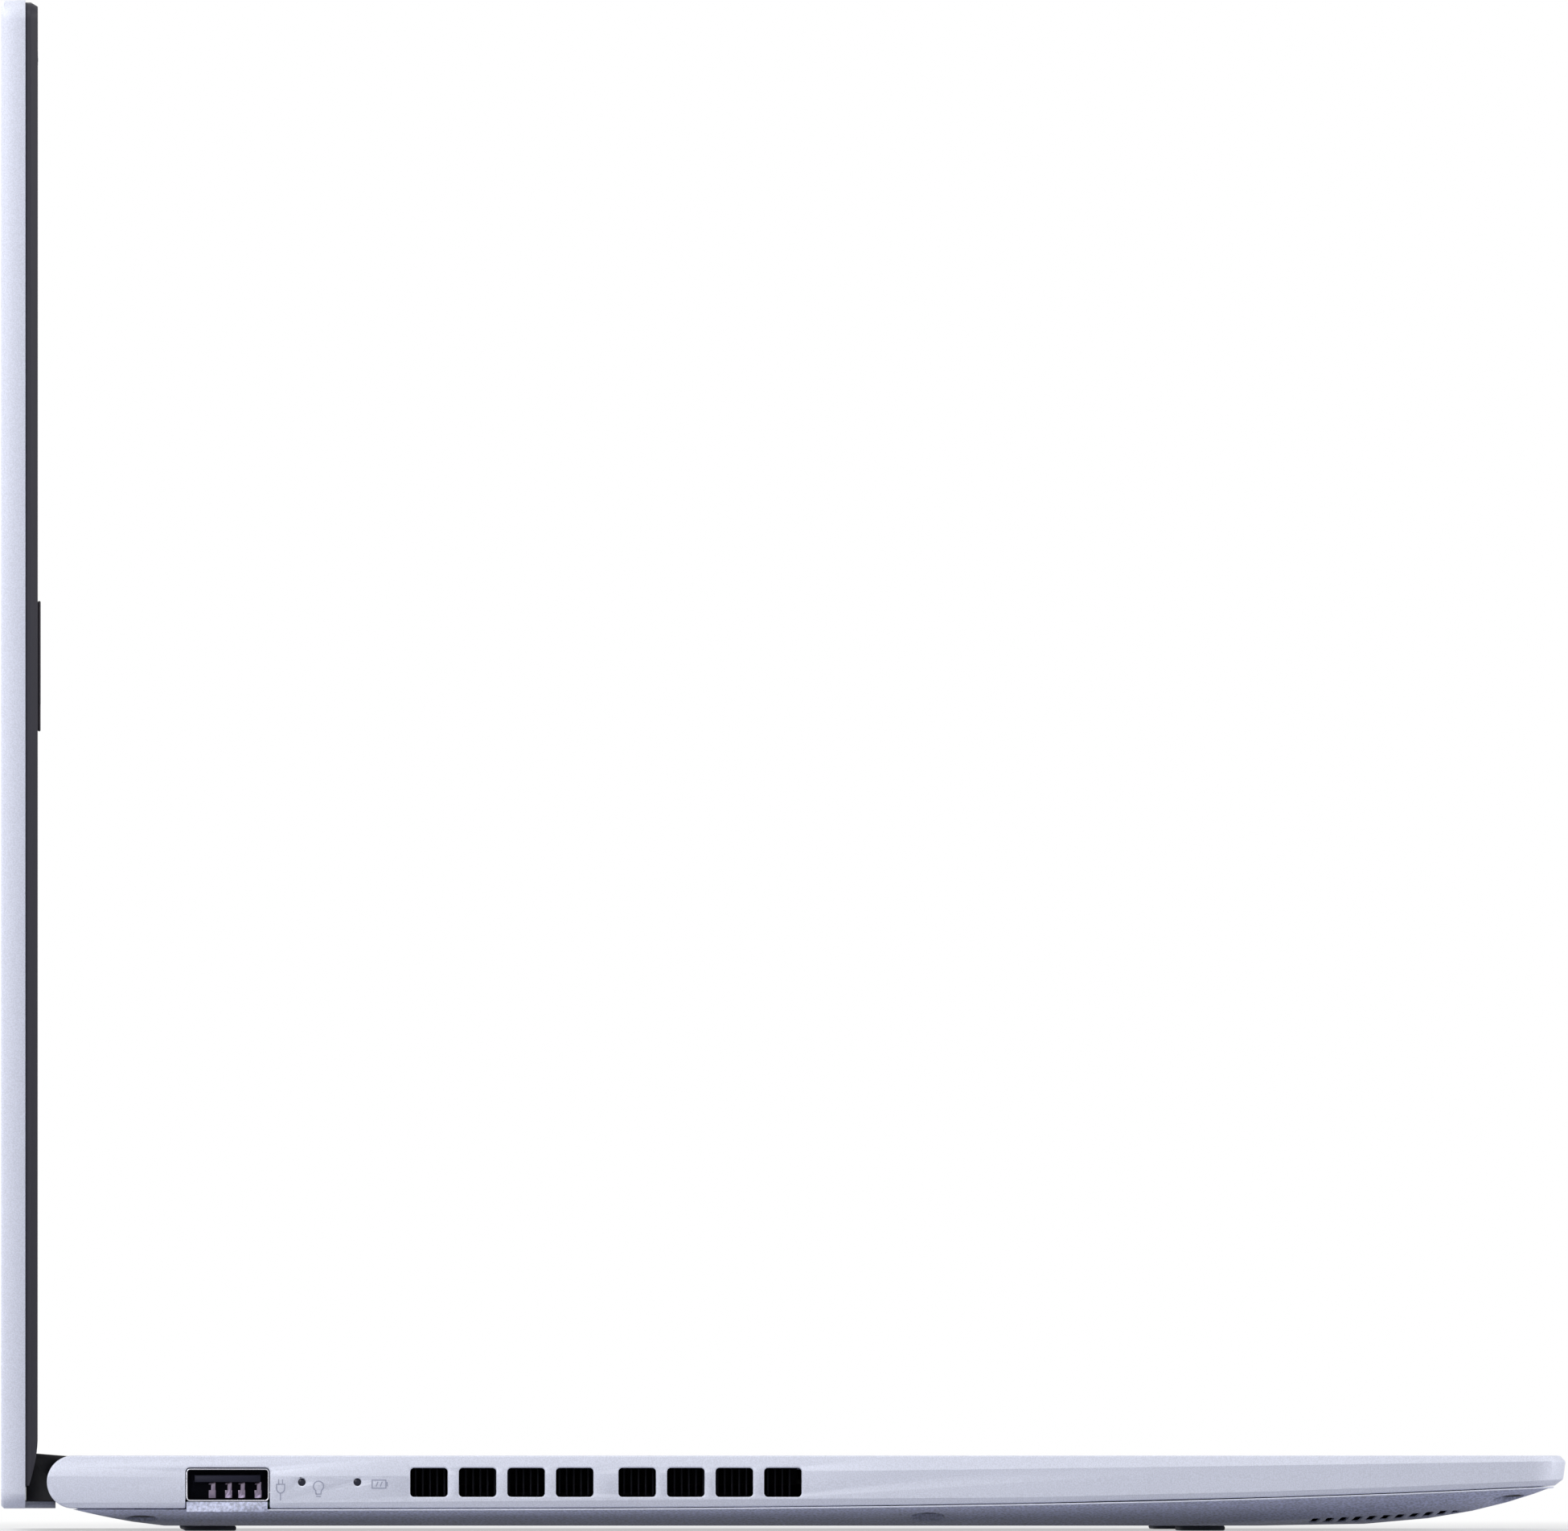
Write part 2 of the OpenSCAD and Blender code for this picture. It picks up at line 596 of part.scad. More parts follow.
module bottom_cover() color([0.72, 0.73, 0.79]) {
    difference() {
        union() {
            difference() {
                cover_loft(0, 0, 0);
                difference() {
                    cover_loft(cover_wall, cover_wall, 1);
                    notch(cover_wall);
                    at_bottom_screws() translate([0, 0, -8]) cylinder(d = boss_d + 3, h = 20);
                }
            }
            // Tab that closes the USB cut-out from below.
            block(-body_w / 2 + rim_inset - 0.35, -body_w / 2 + rim_inset + cover_wall,
                  usb_y - usb_out_w / 2 + tab_gap, usb_y + usb_out_w / 2 - 0.05,
                  rim_z(usb_y) - 0.35, tab_top_z);
        }
        notch(0);
        at_bottom_screws() {
            translate([0, 0, -screw_seat - 9]) cylinder(d = recess_d, h = 9);
            translate([0, 0, -screw_seat - 5.1]) cylinder(d1 = recess_d + 8, d2 = recess_d, h = 4);
            translate([0, 0, -2]) cylinder(d = screw_d + 0.4, h = 4);
        }
        // The wall is thin behind the speaker slots.
        intersection() {
            cover_loft(grille_t, grille_t, 1);
            both_sides() block(speaker_slot_x - speaker_slot_l / 2 - 1,
                               speaker_slot_x + speaker_slot_l / 2 + speaker_slots * speaker_slot_step,
                               speaker_slot_y - speaker_slots * speaker_pitch,
                               speaker_slot_y + speaker_pitch, -1, speaker_z);
        }
        // Intake grille under the fan and speaker slots on both flanks.
        for (i = [0:intake_count - 1]) for (row = [0, 1])
            translate([fan_x + (i - (intake_count - 1) / 2) * intake_pitch,
                       fan_y + (row - 0.5) * intake_row_step, -1])
                linear_extrude(6) rounded_rect(intake_pitch / 2, intake_l, intake_pitch * 0.23);
        both_sides() for (i = [0:speaker_slots - 1])
            translate([speaker_slot_x + speaker_slot_step * i, speaker_slot_y - i * speaker_pitch, -1])
                rotate([0, 0, speaker_slot_turn]) linear_extrude(speaker_z)
                    rounded_rect(speaker_slot_l, speaker_slot_w, speaker_slot_w * 0.3);
    }
}

module front_feet() color([0.16, 0.16, 0.18]) {
    for (s = [-1, 1]) translate([s * front_foot_x, front_foot_y, 0])
        linear_extrude(foot_h) rounded_rect(front_foot_l, front_foot_w, foot_corner_r);
}

module rear_feet() color([0.16, 0.16, 0.18]) {
    for (s = [-1, 1]) translate([s * rear_foot_x, rear_foot_y, 0])
        linear_extrude(foot_h) rounded_rect(rear_foot_l, rear_foot_w, foot_corner_r);
}

module screw(head_d, head_h, d, l) {
    difference() {
        translate([0, 0, -head_h]) cylinder(d = head_d, h = head_h);
        for (a = [0, 90]) rotate([0, 0, a])
            translate([-head_d * 0.3, -head_d * 0.08, -head_h - 1])
                cube([head_d * 0.6, head_d * 0.16, 1 + head_h / 2]);
    }
    cylinder(d = d, h = l);
}

module bottom_screws() color([0.2, 0.2, 0.22]) {
    at_bottom_screws() translate([0, 0, -screw_seat]) screw(screw_head_d, 0.7, screw_d, screw_l);
}

module keyboard_plate() color([0.3, 0.31, 0.33]) {
    difference() {
        translate([0, (tray_rear_y + tray_front_y) / 2, plate_z])
            linear_extrude(plate_t) rounded_rect(tray_w, tray_d, 1.5);
        translate([0, 0, plate_z - 1]) linear_extrude(plate_t + 2)
            for (k = all_keys) translate([k[0], k[1]]) square(post_w + 0.3, center = true);
    }
    // Ribs that hold the plate up against the tray.
    for (y = [tray_front_y, tray_rear_y - 1.4]) block(-tray_w / 2 + 8, tray_w / 2 - 8, y, y + 1.4,
        plate_top_z, tray_floor_z - tray_floor_t);
}

module battery_pack() color([0.12, 0.12, 0.13]) {
    block(-battery_w / 2, battery_w / 2, battery_front_y, battery_rear_y, inner_z, inner_z + battery_h);
    for (s = [-1, 1]) translate([s * (battery_w / 2 + 3.5), battery_mid_y, inner_z])
        linear_extrude(1.6) rounded_rect(9, 12, 2);
}

module mainboard() color([0.1, 0.24, 0.2]) {
    difference() {
        union() {
            block(fan_x + fan_size / 2 + 2, port_face_x - port_depth + 1, board_front_y, board_rear_y,
                  board_z, board_top_z);
            block(port_face_x - port_depth, port_face_x - 3, board_step_y, board_rear_y, board_z, board_top_z);
            block(wing_x0, wing_x1, board_front_y - wing_d, board_front_y + 1, board_z, board_top_z);
        }
        for (p = bottom_screw_places) translate([p.x, p.y, -1]) cylinder(d = boss_d + 2, h = 40);
    }
    // Processor, and the coils beside it.
    block(chip_x - chip_w / 2, chip_x + chip_w / 2, chip_y - chip_d / 2, chip_y + chip_d / 2,
          board_top_z, board_top_z + chip_h);
    for (i = [-1.5:1.5]) translate([chip_x + i * coil_step, chip_y + chip_d + 0.5, board_top_z])
        linear_extrude(coil_h) square(coil_w, center = true);
    // Standoffs down to the bottom cover.
    for (p = standoff_places) translate([p.x, p.y, inner_z]) cylinder(d = 4, h = board_z - inner_z);
}

module heat_pipe() color([0.72, 0.45, 0.3]) {
    block(chip_x - chip_w / 2 - 3, chip_x + chip_w / 2 + 3, chip_y - chip_d / 2 - 2, chip_y + chip_d / 2 + 2,
          pipe_z - spreader_t, pipe_z);
    block(fin_x0, chip_x + chip_w / 2 + 2, fin_rear_y + 0.5, fin_rear_y + pipe_w, pipe_z, pipe_z + pipe_t);
}

module heatsink_fins() color([0.2, 0.2, 0.22]) {
    block(fin_x0, fin_x1, fin_front_y, fin_rear_y + pipe_w, fin_z0, fin_z0 + 0.3);
    block(fin_x0, fin_x1, fin_rear_y - fin_t, fin_rear_y + pipe_w, fin_z0, pipe_z);
    block(fin_x0, fin_x1, fin_front_y, fin_rear_y, fin_z1 - 0.3, fin_z1);
    for (y = [fin_rear_y - fin_t:-fin_pitch:fin_front_y]) block(fin_x0, fin_x1, y, y + fin_t, fin_z0, fin_z1);
}

module fan_housing() color([0.14, 0.14, 0.15]) {
    difference() {
        translate([fan_x, fan_y, fan_z]) linear_extrude(fan_h) rounded_rect(fan_size, fan_size, 6);
        translate([fan_x, fan_y, fan_z + fan_plate]) cylinder(r = fan_r + 1, h = fan_h - 2 * fan_plate);
        block(fan_x - fan_size, fan_x, fan_y - fan_r - 1, fan_y + fan_r + 1,
              fan_z + fan_plate, fan_z + fan_h - fan_plate);
        translate([fan_x, fan_y, fan_z - 1]) cylinder(r = fan_r * 0.7, h = fan_plate + 2);
    }
    translate([fan_x, fan_y, fan_z + fan_plate]) cylinder(r = fan_pin_r, h = fan_h - 1.5 * fan_plate);
}

module fan_rotor() color([0.1, 0.1, 0.11]) {
    z = fan_z + fan_plate + 0.3;
    h = fan_h - 2 * fan_plate - 0.6;
    translate([fan_x, fan_y, z]) {
        difference() {
            union() {
                cylinder(r = fan_hub_r, h = h);
                for (i = [0:fan_blades - 1]) rotate([0, 0, i * 360 / fan_blades])
                    translate([fan_hub_r - 1, 0, 0.3]) rotate([0, 0, 24])
                        cube([fan_r - fan_hub_r, 0.5, h - 0.3]);
                difference() {
                    cylinder(r = fan_r - 2, h = 0.5);
                    translate([0, 0, -1]) cylinder(r = fan_r - 4.5, h = 3);
                }
            }
            translate([0, 0, -1]) cylinder(r = fan_pin_r + 0.05, h = h + 2);
        }
    }
}

module memory_module() color([0.13, 0.3, 0.2]) {
    block(memory_x, memory_x + memory_w, memory_y, memory_y + 6, board_top_z, board_top_z + 1.5);
    block(memory_x + 1, memory_x + memory_w - 1, memory_y + 5, memory_y + memory_d, card_z, card_z + 0.9);
    for (i = [-1.5:1.5])
        translate([memory_x + memory_w / 2 + i * memory_w * 0.23, memory_y + memory_d * 0.6, card_z + 0.8])
            linear_extrude(0.4) square([12, 14], center = true);
}

// A card held by an edge connector of length w at [x, y], reaching l along +X, with a covered middle.
module slot_card(x, y, l, w) {
    block(x, x + 6, y, y + w, board_top_z, card_top_z);
    block(x + 5, x + l, y, y + w, card_z, card_z + card_t);
    block(x + l * 0.25, x + l * 0.9, y + 2.5, y + w - 2.5, card_z + card_t - 0.1, card_top_z);
}

module storage_drive() color([0.12, 0.13, 0.14]) {
    slot_card(drive_x, drive_y, drive_l, drive_w);
    translate([drive_x + drive_l, drive_y + drive_w / 2, board_top_z])
        cylinder(d = 5, h = card_top_z - board_top_z);
}

module wireless_card() color([0.55, 0.56, 0.58]) slot_card(wireless_x, wireless_y, wireless_w, drive_w);

module speaker() {
    z = speaker_z;
    difference() {
        translate([speaker_x, speaker_y, z]) linear_extrude(speaker_h) rounded_rect(speaker_w, speaker_d, 3);
        translate([speaker_x, speaker_y - 3, z - 1]) cylinder(d = 17, h = 1.8);
    }
    for (s = [-1, 1]) translate([speaker_x - 8, speaker_y + s * (speaker_d / 2 + 1.5), z + speaker_h - 1.6])
        cylinder(d = 7, h = 1.6);
    translate([speaker_x, speaker_y - 3, z]) cylinder(d = 14, h = 0.9);
}

module left_speaker() color([0.1, 0.1, 0.11]) mirror([1, 0, 0]) speaker();
module right_speaker() color([0.1, 0.1, 0.11]) speaker();

module usb_outline(grow) {
    rounded_rect(usb_out_w + 2 * grow, usb_out_h + 2 * grow, usb_corner_r + grow);
}

// A socket shell open towards +X, its face at x and its middle at y.
module usb_shell(x, y) {
    translate([x - port_depth, y, port_z]) rotate([90, 0, 90]) difference() {
        linear_extrude(port_depth) usb_outline(0);
        translate([0, 0, usb_wall]) linear_extrude(port_depth) usb_outline(-usb_wall);
    }
}

module usb_tongue(x, y) {
    z = usb_tongue_z;
    block(x - port_depth + usb_wall, x - 0.6, y - usb_tongue_w / 2, y + usb_tongue_w / 2, z, z + usb_tongue_t);
    translate([x - port_depth + usb_wall, y, port_z]) rotate([90, 0, 90])
        linear_extrude(1.2) usb_outline(-usb_wall);
}

// Sprung contacts that come down from the tongue and slope back. Each narrows to a slanted neck.
module usb_contacts(x, y) {
    z = usb_tongue_z;
    root = x - port_depth + usb_wall + 1.2;
    low = z - contact_h;
    for (dy = usb_contact_ys) translate([0, y + dy, 0]) {
        block(root, x - 5, -contact_w / 2, contact_w / 2, z - 0.4, z);
        intersection() {
            translate([0, contact_w, 0]) rotate([90, 0, 0]) linear_extrude(2 * contact_w) polygon([
                [x - 5.1, z], [x - 1.5, z], [x - 1.5, z - 0.5], [x - 2.2, low], [x - 3.2, low],
                [x - 5.1, z - 0.4]]);
            translate([x - 6, 0, 0]) rotate([90, 0, 90]) linear_extrude(6) polygon([
                [-contact_w / 2, low - 1], [contact_w / 2, low - 1], [contact_w / 2, low + 1.2],
                [0.17, low + 1.2], [0.17, low + 1.2 + contact_neck_h * 0.7], [0.17 - 0.25, z + 1],
                [-0.47, z + 1], [-0.47, low + 1.2], [-contact_w / 2, low + 1.2]]);
        }
    }
}

module left_usb_shell() color([0.62, 0.62, 0.65]) mirror([1, 0, 0]) usb_shell(port_face_x, usb_y);
module left_usb_tongue() color([0.2, 0.19, 0.23]) mirror([1, 0, 0]) usb_tongue(port_face_x, usb_y);
module left_usb_contacts() color([0.78, 0.72, 0.7]) mirror([1, 0, 0]) usb_contacts(port_face_x, usb_y);

module left_port_board() color([0.1, 0.24, 0.2]) {
    difference() {
        block(-cavity_w / 2 + 0.3, -port_face_x + port_depth + 3, light_ys[1] - 1.6, usb_y + usb_out_w / 2 + 1,
              board_z, board_top_z);
        for (p = bottom_screw_places) translate([p.x, p.y, -1]) cylinder(d = boss_d + 2, h = 40);
    }
}

module status_lights() color([0.9, 0.92, 0.95]) {
    for (y = light_ys) {
        translate([-body_w / 2 + 0.25, y, light_z]) rotate([0, 90, 0]) cylinder(r = light_r, h = 4);
        block(-body_w / 2 + 4, -body_w / 2 + 7, y - 1.2, y + 1.2, board_top_z, light_z + 1);
    }
}

module right_usb_shells() color([0.62, 0.62, 0.65]) for (y = right_usb_ys) usb_shell(port_face_x, y);
module right_usb_tongues() color([0.1, 0.25, 0.5]) for (y = right_usb_ys) usb_tongue(port_face_x, y);

module power_socket() color([0.1, 0.1, 0.11]) {
    translate([port_face_x - port_depth, power_y, power_z]) rotate([0, 90, 0]) {
        difference() {
            cylinder(d = power_d, h = port_depth);
            translate([0, 0, 1]) cylinder(d = power_bore_d, h = port_depth);
        }
        translate([0, 0, 0.5]) cylinder(d = 0.6, h = port_depth - 3);
    }
    for (s = [-1, 1]) block(port_face_x - port_depth, port_face_x - 4, power_y + s * power_d * 0.4 - 0.7,
                            power_y + s * power_d * 0.4 + 0.7, port_floor_z, power_z);
}

module hdmi_outline(grow) {
    w = hdmi_w / 2 + grow;
    h = hdmi_h / 2 + grow;
    polygon([[-w, h], [w, h], [w, -h + 1.9], [w - 1.7, -h], [-w + 1.7, -h], [-w, -h + 1.9]]);
}

module hdmi_socket() color([0.66, 0.66, 0.68]) {
    translate([port_face_x - port_depth, hdmi_y, hdmi_z]) rotate([90, 0, 90]) difference() {
        linear_extrude(port_depth) hdmi_outline(0);
        translate([0, 0, 1]) linear_extrude(port_depth) hdmi_outline(-0.3);
    }
    block(port_face_x - port_depth + 0.5, port_face_x - 1, hdmi_y - 5.8, hdmi_y + 5.8,
          hdmi_z + 0.1, hdmi_z + 1);
}

module usb_c_socket() color([0.66, 0.66, 0.68]) {
    translate([port_face_x - 7.5, usb_c_y, port_z]) rotate([90, 0, 90]) difference() {
        linear_extrude(7.5) rounded_rect(usb_c_w, usb_c_h, usb_c_h / 2);
        translate([0, 0, 1]) linear_extrude(8) rounded_rect(usb_c_w - 0.6, usb_c_h - 0.6, usb_c_h / 2 - 0.3);
    }
    block(port_face_x - 7, port_face_x - 1, usb_c_y - 3.3, usb_c_y + 3.3, port_z - 0.35, port_z + 0.35);
    block(port_face_x - 7, port_face_x - 2, usb_c_y - 2, usb_c_y + 2, port_floor_z, port_z - usb_c_h / 2 + 0.1);
}

module audio_socket() color([0.1, 0.1, 0.11]) {
    difference() {
        union() {
            translate([port_face_x - audio_depth, audio_y, audio_z]) rotate([0, 90, 0])
                cylinder(d = audio_out_d, h = audio_depth);
            block(port_face_x - audio_depth, port_face_x - 2.5, audio_y - audio_out_d / 2 - 0.4,
                  audio_y + audio_out_d / 2 + 0.4, port_floor_z, audio_z + audio_out_d / 2 - 0.5);
        }
        translate([port_face_x - audio_depth + 1, audio_y, audio_z]) rotate([0, 90, 0])
            cylinder(d = audio_d, h = audio_depth);
    }
}

// ---- Hinges ----

// Base half: a leaf screwed up against the top case, and a knuckle round the shaft.
module hinge_base() {
    difference() {
        union() {
            translate([knuckle_x0, axis_y, axis_z]) rotate([0, 90, 0]) cylinder(r = knuckle_r, h = knuckle_l);
            block(bracket_x0, bracket_x1, bracket_front_y, notch_front_y - case_wall - 0.2,
                  bracket_top_z - bracket_t, bracket_top_z);
            block(knuckle_x0, bracket_x1, bracket_front_y, axis_y, bracket_top_z - bracket_t, bracket_top_z);
        }
        translate([knuckle_x0 - 1, axis_y, axis_z]) rotate([0, 90, 0])
            cylinder(d = shaft_d + 2 * shaft_play, h = knuckle_l + 2);
        for (p = hinge_screw_places) translate([p.x, p.y, 0]) cylinder(d = screw_d + 0.1, h = deck_z);
    }
}

module hinge_base_left() color([0.55, 0.56, 0.58]) mirror([1, 0, 0]) hinge_base();
module hinge_base_right() color([0.55, 0.56, 0.58]) hinge_base();

module hinge_screws() color([0.75, 0.75, 0.77]) {
    both_sides() for (p = hinge_screw_places)
        translate([p.x, p.y, bracket_top_z - bracket_t]) screw(4, 0.7, screw_d, bracket_t + 0.7);
}

// Lid half: a shaft that runs out of the bar's end, and a leaf up inside the lid.
module hinge_arm() {
    translate([arm_x0, axis_y, axis_z]) rotate([0, 90, 0])
        cylinder(d = shaft_d, h = knuckle_x0 + knuckle_l + 0.6 - arm_x0);
    difference() {
        translate([arm_x0, 0, 0]) rotate([90, 0, 90]) linear_extrude(arm_w) polygon([
            [axis_y, axis_z - arm_t / 2], [leaf_y + leaf_t, axis_z - arm_t / 2],
            [leaf_y + leaf_t, axis_z + leaf_h], [leaf_y, axis_z + leaf_h],
            [leaf_y, axis_z + arm_t / 2], [axis_y, axis_z + arm_t / 2]]);
        for (p = arm_screw_places) translate([p.x, leaf_y - 1, p.y]) rotate([-90, 0, 0])
            cylinder(d = screw_d + 0.1, h = leaf_t + 3.6);
    }
}

module hinge_arm_left() color([0.55, 0.56, 0.58]) mirror([1, 0, 0]) hinge_arm();
module hinge_arm_right() color([0.55, 0.56, 0.58]) hinge_arm();

module bar_profile() {
    polygon(concat(
        [for (a = [90:10:310]) [axis_y + bar_r * cos(a), axis_z + bar_r * sin(a)]],
        [[lip_y, lid_z + lip_t], [lid_seam_y - 0.1, lid_z + lip_t], [lid_seam_y - 0.1, axis_z + bar_top],
         [bezel_y, axis_z + bar_top]]));
}

module hinge_cover() color([0.12, 0.12, 0.14]) {
    difference() {
        along_x(bar_len) bar_profile();
        both_sides() {
            translate([arm_x0 - 1, axis_y, axis_z]) rotate([0, 90, 0])
                cylinder(d = shaft_d + 0.3, h = bar_len / 2 - arm_x0 + 3);
            block(arm_x0 - 0.5, arm_x0 + arm_w + 0.5, axis_y, lid_seam_y + 1, axis_z - arm_t / 2 - 0.2,
                  axis_z + arm_t / 2 + 0.2);
        }
    }
}

// ---- Touchpad ----

module touchpad() color([0.66, 0.68, 0.74]) {
    translate([touchpad_x, touchpad_y, touchpad_z]) linear_extrude(touchpad_t)
        rounded_rect(touchpad_w, touchpad_d, 1.7);
}

module touchpad_frame() color([0.5, 0.5, 0.52]) {
    z = touchpad_z - touchpad_drop;
    difference() {
        translate([touchpad_x, touchpad_y, z - 0.8]) linear_extrude(0.8)
            rounded_rect(touchpad_w + 16, touchpad_d + 10, 3);
        translate([touchpad_x, touchpad_y - 4, z - 2]) linear_extrude(4)
            rounded_rect(touchpad_w - 20, touchpad_d - 22, 4);
    }
    // Round bead that the touchpad rocks on along its rear edge, and rails up to the top case.
    translate([touchpad_x, pivot_y, touchpad_z - pivot_r]) rotate([0, 90, 0])
        cylinder(r = pivot_r, h = touchpad_w - 8, center = true);
    for (s = [-1, 1]) translate([touchpad_x + s * (touchpad_w / 2 + 4.5), touchpad_y, z])
        linear_extrude(deck_z - deck_t - z) rounded_rect(6, touchpad_d, 2);
}

// ---- Lid ----

module lid_outline(inset, r) {
    translate([0, lid_z + lid_h / 2]) rounded_rect(body_w - 2 * inset, lid_h - 2 * inset, r, 8);
}

// A slab of the lid's outline whose edge is cut back by c over the depth d, at its +Y side when out is true.
module lid_slab(y0, y1, inset, c, d, out) {
    hull() {
        along_y(out ? y0 : y0 + d, out ? y1 - d : y1) lid_outline(inset, lid_corner_r - inset);
        along_y(y0, y1) lid_outline(inset + c, lid_corner_r - inset - c);
    }
}

module lid_cover() color([0.8, 0.81, 0.87]) {
    difference() {
        lid_slab(lid_seam_y, lid_back_y, 0, 0.45, 0.45, true);
        along_y(lid_seam_y - 1, lid_back_y - lid_skin) lid_outline(lid_wall, lid_corner_r - lid_wall);
    }
    // Lip that closes the lid below the hinge bar.
    block(-bar_len / 2, bar_len / 2, lip_y, lid_seam_y + lid_wall, lid_z, lid_z + lip_t - 0.05);
    // Bosses that the hinge leaves and the display are screwed to.
    both_sides() for (p = arm_screw_places) translate([p.x, leaf_y + leaf_t, p.y]) rotate([-90, 0, 0])
        cylinder(d = 5, h = lid_back_y - lid_skin / 2 - leaf_y - leaf_t);
}

module screen_bezel() color([0.22, 0.22, 0.24]) {
    difference() {
        lid_slab(bezel_y, lid_seam_y, bezel_inset, bezel_chamfer, bezel_chamfer_d, false);
        // The lowest stretch draws back towards the lid, clear of the deck.
        along_x(body_w + 2) polygon(concat(
            [[bezel_y - 1, lid_z + bezel_rise - 1], [bezel_y - 1, lid_z + bezel_rise + bezel_taper_h]],
            [for (t = [0:0.125:1])
                [bezel_y + bezel_taper_d * pow(t, 1.6), lid_z + bezel_rise + bezel_taper_h * (1 - t)]],
            [[bezel_y + bezel_taper_d, lid_z + bezel_rise - 1]]));
        translate([0, 0, screen_mid_z]) along_y(bezel_y - 1, lid_seam_y + 1)
            rounded_rect(screen_w, screen_h, 0.8);
        along_y(bezel_y + bezel_lip, lid_seam_y + 1) lid_outline(bezel_inset + bezel_rim, 1);
        block(-bar_len / 2 - 0.3, bar_len / 2 + 0.3, bezel_y - 1, lid_seam_y + 1, lid_z - 1,
              axis_z + bar_top + 0.1);
        block(-body_w, body_w, bezel_y - 1, lid_seam_y + 1, lid_z - 1, lid_z + bezel_rise);
        translate([0, bezel_y - 1, camera_z]) rotate([-90, 0, 0]) cylinder(d = camera_d + 0.2, h = 4);
    }
}

module display_panel() color([0.05, 0.05, 0.06]) {
    translate([0, 0, screen_mid_z]) along_y(panel_y, panel_y + panel_t) rounded_rect(panel_w, panel_h, 0.6);
}

module backlight_unit() color([0.7, 0.7, 0.72]) {
    translate([0, 0, screen_mid_z]) along_y(panel_y + panel_t, panel_y + panel_t + backlight_t)
        rounded_rect(panel_w - 1, panel_h - 1, 0.6);
}

module lid_screws() color([0.75, 0.75, 0.77]) {
    both_sides() for (p = arm_screw_places) translate([p.x, leaf_y, p.y]) rotate([-90, 0, 0])
        screw(4, 0.4, screw_d, leaf_t);
}

module bezel_bumpers() color([0.27, 0.25, 0.27]) {
    both_sides() translate([bumper_x, 0, bumper_z]) along_y(bezel_y - bumper_h, bezel_y)
        rounded_rect(bumper_w, bumper_l, bumper_w * 0.45);
}

module camera_module() color([0.08, 0.08, 0.1]) {
    block(-camera_w / 2, camera_w / 2, lid_seam_y - 0.7, lid_seam_y + 0.5,
          camera_z - camera_h / 2, camera_z + camera_h / 2);
    translate([0, bezel_y + 0.1, camera_z]) rotate([-90, 0, 0]) cylinder(d = camera_d, h = bezel_d - 0.1);
}

module lid_antennas() color([0.75, 0.6, 0.4]) {
    both_sides() block(camera_w, camera_w + antenna_w, lid_seam_y + 0.1, lid_seam_y + 0.9,
                       camera_z - camera_h / 2, camera_z + camera_h / 2);
}

module display_cable() color([0.15, 0.15, 0.16]) {
    block(-body_w / 4, -body_w / 9, lid_seam_y + 1.2, lid_seam_y + 1.8, screen_z - 16, screen_z - 4);
}

// ---- Keys ----

// A hollow cap with a guide post that slides in the keyboard plate. A key is [x, y, width, depth].
module key_cap(k) {
    translate([k[0], k[1], key_top_z - key_h]) {
        difference() {
            linear_extrude(key_h) rounded_rect(k[2], k[3], 1.2, 3);
            translate([-k[2] / 2 + 1, -k[3] / 2 + 1, -1]) cube([k[2] - 2, k[3] - 2, key_h + 1 - key_skin]);
        }
        translate([-post_w / 2, -post_w / 2, plate_top_z - key_top_z + key_h - post_in])
            cube([post_w, post_w, key_top_z - plate_top_z + post_in - key_skin / 2]);
    }
}

module keys(list) color([0.2, 0.2, 0.22]) for (k = list) key_cap(k);

module function_keys() keys([for (i = [0:len(function_row) - 1]) if (i != power_index) function_row[i]]);
module power_key() keys([function_row[power_index]]);
module number_keys() keys(number_row);
module upper_letter_keys() keys(upper_row);
module home_letter_keys() keys(home_row);
module lower_letter_keys() keys(lower_row);
module left_command_keys() keys([for (i = [0:3]) command_row[i]]);
module space_bar() keys([command_row[4]]);
module right_command_keys() keys([for (i = [5:6]) command_row[i]]);
module arrow_keys() keys(arrow_list);
module number_pad_keys() keys(pad_list);

top_case();
bottom_cover();
front_feet();
rear_feet();
bottom_screws();
keyboard_plate();
battery_pack();
mainboard();
heat_pipe();
heatsink_fins();
fan_housing();
fan_rotor();
memory_module();
storage_drive();
wireless_card();
left_speaker();
right_speaker();
left_usb_shell();
left_usb_tongue();
left_usb_contacts();
left_port_board();
status_lights();
power_socket();
hdmi_socket();
right_usb_shells();
right_usb_tongues();
usb_c_socket();
audio_socket();
hinge_base_left();
hinge_base_right();
hinge_screws();
touchpad_frame();
touchpad();
lid_cover();
screen_bezel();
display_panel();
backlight_unit();
hinge_cover();
hinge_arm_left();
hinge_arm_right();
lid_screws();
bezel_bumpers();
camera_module();
lid_antennas();
display_cable();
function_keys();
power_key();
number_keys();
upper_letter_keys();
home_letter_keys();
lower_letter_keys();
left_command_keys();
space_bar();
right_command_keys();
arrow_keys();
number_pad_keys();
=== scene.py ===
"""Looks of a clamshell laptop computer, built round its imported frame.

Places and sizes of the studio are in metres, and those of the laptop in millimetres. The frame's +X runs
along the width, +Y from the front edge to the hinge and +Z up.
"""
from __future__ import annotations

import json
import logging
import math
from collections.abc import Callable, Iterable, Sequence
from dataclasses import dataclass, field
from enum import Enum
from typing import Any, Protocol

